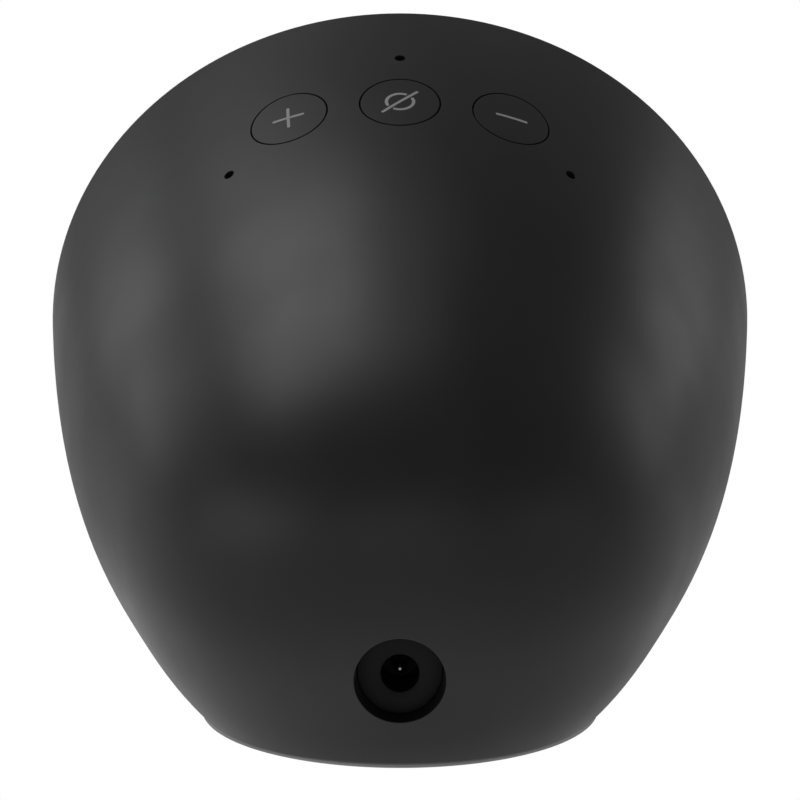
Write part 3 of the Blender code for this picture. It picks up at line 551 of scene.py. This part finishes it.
# ---------------------------------------------------------------- rear shell
shell = hull_solid("shell_moulding", 0.0, BASE_Z, BASE_ROUND, 0.0, 192, 76, 8 * MM, fillet=RIM_FILLET)
hollow = hull_solid("cut_hollow", WALL, LIP_TOP, 0.8 * MM, -8 * MM, 64, 20, 12 * MM)
tube = rod("add_jack_tube", 7.7 * MM, -2.4 * MM, 6.0 * MM, POCKET)
skin = hull_solid("keep_under_skin", 0.6 * MM, BASE_Z + 1 * MM, 1 * MM, 20 * MM, 64, 20, 8 * MM)
carve(tube, [("INTERSECT", skin)])
deep = [(JACK_FLOOR_RADIUS, -3 * MM), (JACK_FLOOR_RADIUS, 0)]
cuts = [
    ("DIFFERENCE", hollow),
    ("UNION", tube),
    ("DIFFERENCE", hole_tool("cut_jack_mouth", POCKET, JACK_MOUTH, MOUTH_FILLET, deep, 128)),
]
recess = base_outline(*RECESS)
cuts.append(("DIFFERENCE", stack("cut_base_recess", [(recess, -2 * MM), (recess, PLATE_TOP + GAP)])))
opening = base_outline(*OPENING)
cuts.append(("DIFFERENCE", stack("cut_base_opening", [(opening, 0), (opening, 7 * MM)])))
BUTTONS = {
    "volume_up": surface_frame(BUTTON_S, BUTTON_ANGLE),
    "mic_mute": surface_frame(BUTTON_S, 0.0),
    "volume_down": surface_frame(BUTTON_S, -BUTTON_ANGLE),
}
for name, place in BUTTONS.items():
    hole = BUTTON_RADIUS + GAP
    cuts.append(("DIFFERENCE", hole_tool(f"cut_{name}", place, hole, HOLE_FILLET, [(hole, -4 * MM)])))
for name, s, angle in MICS:
    place = surface_frame(s, math.radians(angle))
    hole = hole_tool(f"cut_mic_{name}", place, MIC_HOLE, 0.08 * MM, [(MIC_HOLE, -4 * MM)], 40)
    cuts.append(("DIFFERENCE", hole))
for number, angle in enumerate(CARRIER_ANGLES):
    place = surface_frame(BUTTON_S, math.radians(angle))
    cuts.append(("UNION", rod(f"add_boss_{number}", 2.4 * MM, -7.3 * MM, -1.0 * MM, place, 24)))
    cuts.append(("DIFFERENCE", rod(f"cut_bore_{number}", 1.3 * MM, -9 * MM, -2.2 * MM, place, 24)))
for number, place in enumerate(screw_places()):
    cuts.append(("UNION", rod(f"add_base_boss_{number}", 2.7 * MM, PLATE_TOP + GAP, 9 * MM, place, 24)))
    cuts.append(("DIFFERENCE", rod(f"cut_base_bore_{number}", 1.3 * MM, 0, 8.2 * MM, place, 24)))
carve(shell, cuts)
polish(shell)

# ---------------------------------------------------------------- buttons and their printed marks
CAP_RADIUS = BUTTON_RADIUS + GAP - BUTTON_GAP
caps = {}
for name, place in BUTTONS.items():
    bm = bmesh.new()
    rings = [draped(bm, place, [(0, 0)], 0)[:1] * 96]
    for share in (0.12, 0.25, 0.4, 0.55, 0.7, 0.85, 0.95):
        rings.append(draped(bm, place, circle(CAP_RADIUS * share, 96), 0))
    for back, down in reversed(quarter(5)):
        rings.append(draped(bm, place, circle(CAP_RADIUS - CAP_FILLET * back, 96), CAP_FILLET * (down - 1)))
    top, low = -FLANGE_DEPTH, -FLANGE_DEPTH - 0.7 * MM
    for radius, z in (
        (CAP_RADIUS, top), (BUTTON_FLANGE - 0.1 * MM, top), (BUTTON_FLANGE, top - 0.1 * MM),
        (BUTTON_FLANGE, low + 0.1 * MM), (BUTTON_FLANGE - 0.1 * MM, low), (1.5 * MM, low),
        (1.5 * MM, low - 0.6 * MM),
    ):
        rings.append([bm.verts.new((x, y, z)) for x, y in circle(radius, 96)])
    join(bm, rings)
    caps[name] = polish(finish(f"cap_{name}", bm, place))

ARM = 2.5 * MM - STROKE
across = [(ARM * i / 10, 0.0) for i in range(-10, 11)]
upright = [(0.0, ARM * i / 10) for i in range(-10, 11)]
marks = {
    "volume_up": carve(
        ribbon("print_plus", BUTTONS["volume_up"], across, STROKE),
        [("UNION", ribbon("add_upright", BUTTONS["volume_up"], upright, STROKE))],
    ),
    "volume_down": ribbon("print_minus", BUTTONS["volume_down"], across, STROKE),
}
RING = 2.02 * MM
SLASH = 3.8 * MM - STROKE
BREAK = 21
arcs = []
for side in (0, 180):
    turns = [math.radians(45 + side + BREAK + (180 - 2 * BREAK) * i / 28) for i in range(29)]
    path = [(RING * math.cos(a), RING * math.sin(a)) for a in turns]
    arcs.append(ribbon(f"ring_{side}", BUTTONS["mic_mute"], path, STROKE))
slash = [(SLASH * i / 16 / math.sqrt(2),) * 2 for i in range(-16, 17)]
marks["mic_mute"] = merge("print_mic_off", arcs + [ribbon("slash", BUTTONS["mic_mute"], slash, STROKE)])

# ---------------------------------------------------------------- front frame, window and grille
FRAME_RADIUS = RIM_RADIUS - WALL - GAP
FRAME_FOOT = GRILLE_FOOT - 3.0 * MM
EDGE = 0.12 * MM


def grown(outline, by):
    """The outline of an opening or a plate, moved outwards by this much."""
    radius, low, high, corner = outline
    return arc_outline(radius + by, low - by, high + by if high < radius else high, corner + by)


def opening_tool(name, outline, low):
    """A cutter with a chamfered mouth at the front."""
    levels = [(grown(outline, 0), low), (grown(outline, 0), -EDGE), (grown(outline, 2 * EDGE), EDGE)]
    return stack(name, levels, FROM_RIM)


def plate(name, outline, low, high, round_):
    """A plate with a rounded front edge."""
    levels = [(grown(outline, 0), low)]
    for back, up in quarter(6):
        levels.append((grown(outline, -round_ * back), high + round_ * (up - 1)))
    return stack(name, levels, FROM_RIM, sharp=25.0)


WINDOW = (51.8 * MM, CHORD + 1.0 * MM, BEYOND, 3 * MM)
GRILLE = (51.8 * MM, GRILLE_FOOT, CHORD - 1.0 * MM, 3 * MM)
WINDOW_SEAT = (52.1 * MM, CHORD + 0.7 * MM, BEYOND, 3.2 * MM)
GRILLE_SEAT = (52.1 * MM, GRILLE_FOOT - GAP, CHORD - 0.7 * MM, 3.2 * MM)
SCREEN_HOLE = (49.6 * MM, CHORD + 3.4 * MM, BEYOND, 3 * MM)
SOUND_HOLE = (49.2 * MM, GRILLE_FOOT + 2.2 * MM, CHORD - 3.4 * MM, 3 * MM)
CLOTH_CUT = (51.0 * MM, GRILLE_FOOT + 1 * MM, CHORD - 2.2 * MM, 3 * MM)
bezel = stack(
    "front_bezel",
    [(arc_outline(FRAME_RADIUS - 0.45 * MM, FRAME_FOOT + 1.1 * MM, BEYOND, 1.2 * MM), -3.2 * MM),
     (arc_outline(FRAME_RADIUS, FRAME_FOOT, BEYOND, 1.2 * MM), -0.2 * MM),
     (arc_outline(FRAME_RADIUS - 0.1 * MM, FRAME_FOOT + 0.1 * MM, BEYOND, 1.1 * MM), -0.05 * MM),
     (arc_outline(FRAME_RADIUS - 0.2 * MM, FRAME_FOOT + 0.2 * MM, BEYOND, 1.0 * MM), 0.0)],
    FROM_RIM,
)
carve(bezel, [
    ("DIFFERENCE", opening_tool("cut_window_seat", WINDOW_SEAT, -1.5 * MM)),
    ("DIFFERENCE", opening_tool("cut_grille_seat", GRILLE_SEAT, -1.5 * MM)),
    ("DIFFERENCE", opening_tool("cut_screen_hole", SCREEN_HOLE, -6 * MM)),
    ("DIFFERENCE", opening_tool("cut_sound_hole", SOUND_HOLE, -6 * MM)),
])
window = plate("window_glass", WINDOW, -1.2 * MM, -0.05 * MM, 0.3 * MM)
grille = plate("grille_bars", GRILLE, -0.85 * MM, -0.05 * MM, 0.2 * MM)
slots = []
for row in range(8):
    height = (-11.0 - 4.0 * row) * MM
    reach = min(math.sqrt((48.0 * MM) ** 2 - (abs(height) + 1 * MM) ** 2), 45 * MM) - 0.75 * MM
    levels = []
    for half, z in ((0.75 * MM, -3 * MM), (0.75 * MM, -0.2 * MM), (1.1 * MM, 0.15 * MM)):
        end = [math.radians(-90 + 180 * i / 12) for i in range(13)]
        right = [(reach + half * math.cos(a), height + half * math.sin(a)) for a in end]
        levels.append((right + [(-x, 2 * height - y) for x, y in right], z))
    slots.append(("DIFFERENCE", stack(f"cut_slot_{row}", levels, FROM_RIM)))
carve(grille, slots)
cloth_outline = arc_outline(*CLOTH_CUT)
weave = stack("grille_weave", [(cloth_outline, -1.48 * MM), (cloth_outline, -1.16 * MM)], FROM_RIM)

# ---------------------------------------------------------------- base plate and foot
plate_outline = base_outline(*PLATE)
inset_outline = base_outline(PLATE[0] + 0.25 * MM, PLATE[1] + 0.25 * MM)
underside = stack("underside_cover", [
    (inset_outline, BASE_Z), (plate_outline, BASE_Z + 0.25 * MM), (plate_outline, PLATE_TOP),
])
pocket = oval(FOOT_KEY, GAP)
tools = [("DIFFERENCE", stack("cut_foot_pocket", [(pocket, -1 * MM), (pocket, KEY_TOP + GAP)]))]
for number, place in enumerate(screw_places()):
    sink = [(0, 0), (2.3 * MM, 0), (2.3 * MM, 3.2 * MM)]
    sink += [(1.3 * MM, 3.2 * MM), (1.3 * MM, 6 * MM), (0, 6 * MM)]
    tools.append(("DIFFERENCE", lathe(f"cut_sink_{number}", sink, place, 32)))
carve(underside, tools)

SOLE = BASE_Z - 0.05 * MM
SOLE_ROUND = 0.35 * MM
levels = [(oval(FOOT, -SOLE_ROUND * (1 - up)), SOLE_ROUND * out) for out, up in quarter(6)]
levels += [(oval(FOOT), SOLE - 0.1 * MM), (oval(FOOT, -0.1 * MM), SOLE)]
levels += [(oval(FOOT_KEY), SOLE), (oval(FOOT_KEY), KEY_TOP)]
foot = stack("foot_moulding", levels)

# ---------------------------------------------------------------- power inlet
FACE_RADIUS = JACK_FLOOR_RADIUS - 0.06 * MM
profile = [(0, -3 * MM), (JACK_FLOOR_RADIUS - GAP, -3 * MM)]
profile += [(FACE_RADIUS - EDGE * back, EDGE * (up - 1)) for back, up in quarter(4)]
profile.append((0, 0))
housing = lathe("inlet_body", profile, POCKET, 128)


def block(name, size, centre):
    """A box in the socket's frame."""
    bm = bmesh.new()
    place = JACK @ Matrix.Translation(centre) @ Matrix.Diagonal((*size, 1))
    bmesh.ops.create_cube(bm, size=1.0, matrix=place)
    return finish(name, bm)


LIP = 0.16 * MM
profile = [(0, -14 * MM), (1.35 * MM, -14 * MM), (1.35 * MM, -JACK_DEPTH), (JACK_BORE, -JACK_DEPTH)]
profile += [(JACK_BORE + LIP * out, LIP * (up - 1)) for out, up in quarter(5, 80.0)]
profile += [(JACK_BORE + 0.5 * MM, 0.3 * MM), (JACK_BORE + 0.5 * MM, 3 * MM), (0, 3 * MM)]
carve(housing, [
    ("UNION", block("add_block", (10 * MM, 9.6 * MM, 10 * MM), (0, 0.4 * MM, -7.6 * MM))),
    ("DIFFERENCE", lathe("cut_bore", profile, JACK, 96)),
    ("DIFFERENCE", block("cut_spring_slot", (1.9 * MM, 1.6 * MM, 6.8 * MM), (0, -2.95 * MM, -4.8 * MM))),
])
NOSE = 2.2 * MM  # length of the pin's rounded end
profile = [(0, -PIN_ROOT), (JACK_PIN, -PIN_ROOT)]
for i in range(16):
    turn = math.radians(90 * i / 16)
    profile.append((JACK_PIN * math.cos(turn), NOSE * (math.sin(turn) - 1) - PIN_DEPTH))
profile.append((0, -PIN_DEPTH))
pin = lathe("inlet_pin", profile, JACK, 64)


# ---------------------------------------------------------------- materials
def shader(name, **sockets):
    """A new material's Principled shader, with constants set on its own sockets."""
    made = bpy.data.materials.new(name)
    made.use_nodes = True
    principled = made.node_tree.nodes["Principled BSDF"]
    for socket, value in sockets.items():
        principled.inputs[socket.replace("_", " ").title().replace("Ior", "IOR")].default_value = value
    return made, principled


def add(tree, kind, inputs=(), **settings):
    """A node with its settings, and its sockets linked or set."""
    made = tree.nodes.new(kind)
    for key, value in settings.items():
        setattr(made, key, value)
    for socket, value in dict(inputs).items():
        if isinstance(value, bpy.types.NodeSocket):
            tree.links.new(value, made.inputs[socket])
        else:
            made.inputs[socket].default_value = value
    return made


def noise(tree, size, detail=2.0, roughness=0.5, stretch=(1, 1, 1)):
    """A noise value whose features are about this size, in metres."""
    place = add(tree, "ShaderNodeTexCoord").outputs["Object"]
    scaled = add(tree, "ShaderNodeMapping", {"Vector": place, "Scale": [part / size for part in stretch]})
    made = add(
        tree, "ShaderNodeTexNoise",
        {"Vector": scaled.outputs["Vector"], "Scale": 1.0, "Detail": detail, "Roughness": roughness},
    )
    return made.outputs["Fac"]


def spread(tree, value, low, high, at=(0.3, 0.7)):
    """The value stretched from its usual range to low and high."""
    made = add(
        tree, "ShaderNodeMapRange",
        {"Value": value, "From Min": at[0], "From Max": at[1], "To Min": low, "To Max": high},
    )
    return made.outputs["Result"]


def tint(tree, value, dark, light, at=(0.35, 0.65)):
    """A colour that goes from dark to light with the value."""
    made = add(tree, "ShaderNodeValToRGB", {"Fac": value})
    for stop, place, colour in zip(made.color_ramp.elements, at, (dark, light)):
        stop.position = place
        stop.color = (*colour, 1.0)
    return made.outputs["Color"]


def bumped(tree, principled, height, distance, strength=1.0):
    """Adds this height to the surface's bumps."""
    inputs = {"Height": height, "Distance": distance, "Strength": strength}
    under = principled.inputs["Normal"].links
    if under:
        inputs["Normal"] = under[0].from_socket
    made = add(tree, "ShaderNodeBump", inputs)
    tree.links.new(made.outputs["Normal"], principled.inputs["Normal"])


def shades(colour, by):
    """A darker and a lighter one of this colour."""
    return [part * (1 - by) for part in colour], [part * (1 + by) for part in colour]


def moulded(name, colour, rough, grain=0.22 * MM, depth=0.006 * MM, swing=0.03, ior=1.46):
    """Moulded plastic or rubber: spark-eroded grain, slight flow in the colour and the gloss."""
    made, principled = shader(name, ior=ior)
    tree = made.node_tree
    dark, light = shades(colour, 0.08)
    tree.links.new(tint(tree, noise(tree, 9 * MM, 3), dark, light), principled.inputs["Base Color"])
    flow = spread(tree, noise(tree, 14 * MM, 2), rough - swing, rough + swing)
    tree.links.new(flow, principled.inputs["Roughness"])
    bumped(tree, principled, noise(tree, grain, 2, 0.6), depth)
    return made


def metal(name, colour, rough, stretch=(1, 12, 1), depth=0.002 * MM):
    """Rolled or plated metal with fine lines."""
    made, principled = shader(name, metallic=1.0)
    tree = made.node_tree
    dark, light = shades(colour, 0.1)
    lines = noise(tree, 0.9 * MM, 3, 0.6, stretch)
    tree.links.new(tint(tree, lines, dark, light), principled.inputs["Base Color"])
    tree.links.new(spread(tree, lines, rough - 0.06, rough + 0.08), principled.inputs["Roughness"])
    bumped(tree, principled, lines, depth)
    return made


def circuit(name, colour, trace, rough, pitch):
    """A printed circuit: straight traces in two directions under a lacquer."""
    made, principled = shader(name, coat_weight=0.3, coat_roughness=0.2)
    tree = made.node_tree
    place = add(tree, "ShaderNodeTexCoord").outputs["Object"]
    pattern = add(
        tree, "ShaderNodeTexBrick",
        {"Vector": place, "Scale": 0.25 / pitch, "Mortar Size": 0.03, "Mortar Smooth": 0.2,
         "Color1": (*colour, 1.0), "Color2": (*shades(colour, 0.15)[1], 1.0), "Mortar": (*trace, 1.0)},
    )
    tree.links.new(pattern.outputs["Color"], principled.inputs["Base Color"])
    gloss = spread(tree, noise(tree, 2 * MM), rough - 0.05, rough + 0.08)
    tree.links.new(gloss, principled.inputs["Roughness"])
    bumped(tree, principled, pattern.outputs["Fac"], 0.03 * MM)
    return made


def woven(name, colour, pitch, rough=0.9):
    """Acoustic cloth: two crossing sets of threads, in the front disc's own directions."""
    made, principled = shader(name, sheen_weight=0.25, sheen_roughness=0.5)
    tree = made.node_tree
    place = add(tree, "ShaderNodeTexCoord").outputs["Object"]
    laid = add(tree, "ShaderNodeMapping", {"Vector": place, "Rotation": (LEAN, 0, 0)}).outputs["Vector"]
    threads = []
    for direction in "XZ":
        wave = add(
            tree, "ShaderNodeTexWave",
            {"Vector": laid, "Scale": 1 / (pitch * 20) * 2 * math.pi, "Distortion": 0.4},
            bands_direction=direction,
        )
        threads.append(wave.outputs["Fac"])
    crossed = add(tree, "ShaderNodeMath", operation="MULTIPLY")
    for socket, thread in zip(crossed.inputs, threads):
        tree.links.new(thread, socket)
    height = crossed.outputs["Value"]
    dark, light = shades(colour, 0.5)
    tree.links.new(tint(tree, height, dark, light, at=(0.1, 0.8)), principled.inputs["Base Color"])
    gloss = spread(tree, noise(tree, 3 * MM), rough - 0.06, rough + 0.06)
    tree.links.new(gloss, principled.inputs["Roughness"])
    bumped(tree, principled, height, 0.12 * MM)
    return made


def glassy(name, colour):
    """A dark printed glass: nearly smooth, with faint wiping marks in the gloss."""
    made, principled = shader(name, ior=1.5, coat_weight=0.4, coat_roughness=0.03)
    tree = made.node_tree
    dark, light = shades(colour, 0.15)
    tree.links.new(tint(tree, noise(tree, 20 * MM), dark, light), principled.inputs["Base Color"])
    wipes = noise(tree, 6 * MM, 4, 0.6, (1, 1, 3))
    tree.links.new(spread(tree, wipes, 0.05, 0.11), principled.inputs["Roughness"])
    return made


SHELL = moulded("shell plastic", (0.0090, 0.0090, 0.0094), 0.41)
BUTTON = moulded("button plastic", (0.0090, 0.0090, 0.0094), 0.41)
FRONT = moulded("front plastic", (0.010, 0.010, 0.0105), 0.38, depth=0.004 * MM)
GLASS = glassy("window glass", (0.004, 0.004, 0.0045))
PANEL = glassy("display panel", (0.012, 0.012, 0.015))
# The foot's grey is set light so that its edge shows a bright band along the bottom: partly the rubber's own
# colour, partly painted bounce light from the floor under the shell's shadow.
FOOT = moulded("foot rubber", (0.34, 0.34, 0.34), 0.75, grain=0.4 * MM, depth=0.012 * MM)
INK = moulded("printed ink", (0.30, 0.30, 0.30), 0.6, grain=0.08 * MM, depth=0.002 * MM)
CLOTH = woven("grille cloth", (0.016, 0.016, 0.017), 0.55 * MM)
INNER = moulded("inner plastic", (0.022, 0.022, 0.024), 0.5, grain=0.35 * MM)
INLET = moulded("inlet plastic", (0.005, 0.005, 0.0052), 0.62, grain=0.2 * MM, ior=1.34)
BOARD = circuit("circuit board", (0.01, 0.07, 0.03), (0.03, 0.14, 0.06), 0.4, 1.4 * MM)
FLEX = circuit("flexible circuit", (0.34, 0.15, 0.03), (0.5, 0.26, 0.08), 0.4, 1.0 * MM)
STEEL = metal("steel", (0.48, 0.48, 0.49), 0.3)
ALUMINIUM = metal("aluminium", (0.68, 0.69, 0.70), 0.36)
CONTACT = metal("plated contact", (0.42, 0.41, 0.40), 0.14, depth=0.0006 * MM)
FERRITE = moulded("ferrite", (0.045, 0.045, 0.048), 0.6, grain=0.7 * MM, depth=0.03 * MM)
PAPER = moulded("cone paper", (0.028, 0.028, 0.030), 0.88, grain=0.5 * MM, depth=0.04 * MM)
RUBBER = moulded("soft rubber", (0.018, 0.018, 0.018), 0.75, grain=0.5 * MM)
SLEEVE = moulded("lead sleeve", (0.018, 0.018, 0.018), 0.55, grain=0.4 * MM)

# ---------------------------------------------------------------- what each piece stands for
PIECES = [
    (shell, "enclosure", ["rear_shell"], "shell", SHELL),
    (bezel, "enclosure", ["front_frame"], "front", FRONT),
    (window, "enclosure", ["display_window"], "window", GLASS),
    (grille, "enclosure", ["speaker_grille"], "front", FRONT),
    (weave, "enclosure", ["grille_cloth"], "cloth", CLOTH),
    (underside, "enclosure", ["base_plate"], "inner_plastic", INNER),
    (foot, "enclosure", ["rubber_foot"], "foot", FOOT),
    (housing, "enclosure", ["jack_housing"], "inner_plastic", INLET),
    (pin, "enclosure", ["jack_pin"], "contact", CONTACT),
]
for name in BUTTONS:
    PIECES.append((caps[name], f"{name}_button", [f"button_{name}"], "button", BUTTON))
    PIECES.append((marks[name], f"{name}_button", [], "button", INK))
for piece, body, nodes, slot, surface in PIECES:
    piece.data.materials.clear()
    piece.data.materials.append(surface)
    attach(piece, body)
    if nodes:
        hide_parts(*nodes)

CARRIED = {
    "display_panel": PANEL,
    "display_bracket": ALUMINIUM,
    "heat_spreader": ALUMINIUM,
    "shield_can": STEEL,
    "main_board": BOARD,
    "button_board": BOARD,
    "board_connector": INNER,
    "button_carrier": INNER,
    "speaker_box": INNER,
    "speaker_basket": STEEL,
    "speaker_magnet": FERRITE,
    "speaker_cone": PAPER,
    "speaker_surround": RUBBER,
    "mic_gasket": RUBBER,
    "mic_": STEEL,
    "switch_body": INNER,
    "switch_plunger": CONTACT,
    "jack_spring": CONTACT,
    "jack_lead": SLEEVE,
    "speaker_lead": SLEEVE,
    "display_flex": FLEX,
    "button_flex": FLEX,
    "antenna": FLEX,
    "board_screw": STEEL,
    "carrier_screw": STEEL,
    "driver_screw": STEEL,
    "base_screw": STEEL,
}
for name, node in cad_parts.items():
    surface = next((made for start, made in CARRIED.items() if name.startswith(start)), None)
    if surface is not None:
        node.data.materials.clear()
        node.data.materials.append(surface)
    elif not node.hide_render:
        raise RuntimeError(f"{name} has no material here")

# ---------------------------------------------------------------- floor, light and camera
FLOOR_HALF = 4.0
GLOW_REACH = 48 * MM  # the floor's glow is 1 at this distance from its middle, before the limit
GLOW_FALL = 3.0
GLOW_LIMIT = 0.4
ROOM_LIGHT = 0.18


def show_white(tree, lit, white, output):
    """Shows plain white to the camera. Every other ray meets the dimmer surface behind it."""
    seen = add(tree, "ShaderNodeLightPath").outputs["Is Camera Ray"]
    mix = add(tree, "ShaderNodeMixShader", {"Fac": seen})
    tree.links.new(lit, mix.inputs[1])
    tree.links.new(white, mix.inputs[2])
    tree.links.new(mix.outputs["Shader"], tree.nodes[output].inputs["Surface"])


floor_mesh = bmesh.new()
bmesh.ops.create_grid(floor_mesh, x_segments=1, y_segments=1, size=FLOOR_HALF)
floor = finish("floor", floor_mesh)
floor_surface, principled = shader("floor paper", roughness=0.9)
tree = floor_surface.node_tree
principled.inputs["Base Color"].default_value = (0.8, 0.8, 0.8, 1.0)
principled.inputs["Emission Color"].default_value = (1, 1, 1, 1)
place = add(tree, "ShaderNodeTexCoord").outputs["Object"]
away = add(tree, "ShaderNodeVectorMath", {"Vector": place}, operation="LENGTH").outputs["Value"]
fall = add(tree, "ShaderNodeMath", {0: GLOW_REACH, 1: away}, operation="DIVIDE").outputs[0]
glow = add(tree, "ShaderNodeMath", {0: fall, 1: GLOW_FALL}, operation="POWER").outputs[0]
glow = add(tree, "ShaderNodeMath", {0: glow, 1: GLOW_LIMIT}, operation="MINIMUM").outputs[0]
tree.links.new(glow, principled.inputs["Emission Strength"])
white = add(tree, "ShaderNodeEmission", {"Color": (1, 1, 1, 1), "Strength": 1.0})
show_white(tree, principled.outputs["BSDF"], white.outputs["Emission"], "Material Output")
floor.data.materials.append(floor_surface)
floor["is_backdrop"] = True


def softbox(name, azimuth, height, wide, tall, power):
    """A rectangular soft light facing the object's middle from 1 m. Azimuth 0 is the camera's side."""
    light = bpy.data.lights.new(name, "AREA")
    light.shape = "RECTANGLE"
    light.size, light.size_y, light.energy = wide, tall, power
    turn, tilt = math.radians(azimuth), math.radians(height)
    toward = Vector((math.sin(turn) * math.cos(tilt), math.cos(turn) * math.cos(tilt), math.sin(tilt)))
    made = bpy.data.objects.new(name, light)
    made.location = CENTRE + toward
    made.rotation_euler = (-toward).to_track_quat("-Z", "Y").to_euler()
    made.visible_camera = False
    bpy.context.collection.objects.link(made)


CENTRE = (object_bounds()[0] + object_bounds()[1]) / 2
softbox("key", 90, 60, 0.5, 0.7, 3.3)
softbox("side_left", 122, 15, 0.35, 0.45, 0.8)
softbox("side_right", -125, 12, 0.3, 0.4, 0.6)
softbox("back_left", 125, 45, 0.4, 0.4, 0.4)
softbox("low_left", 60, 3, 0.9, 0.25, 0.9)
softbox("low_front", 0, 3, 0.9, 0.25, 0.5)
softbox("low_right", -60, 3, 0.9, 0.25, 0.3)
softbox("overhead", 0, 85, 0.4, 0.4, 0.4)
softbox("screen_side", 180, 20, 0.6, 0.6, 0.8)

world = bpy.data.worlds.new("studio")
bpy.context.scene.world = world
world.use_nodes = True
dim = world.node_tree.nodes["Background"]
dim.inputs["Color"].default_value = (1, 1, 1, 1)
dim.inputs["Strength"].default_value = ROOM_LIGHT
bright = add(world.node_tree, "ShaderNodeBackground", {"Color": (1, 1, 1, 1), "Strength": 1.0})
show_white(world.node_tree, dim.outputs["Background"], bright.outputs["Background"], "World Output")

camera = bpy.data.objects.new("camera", bpy.data.cameras.new("camera"))
camera.data.lens = 148.7
camera.data.sensor_width = 36.0
camera.data.clip_start = 0.01
camera.location = (0, 0.4917, 0.1400)
camera.rotation_euler = (math.radians(90 - 10.826), 0, math.pi)
bpy.context.collection.objects.link(camera)
bpy.context.scene.camera = camera
bpy.context.scene.view_settings.view_transform = "Standard"
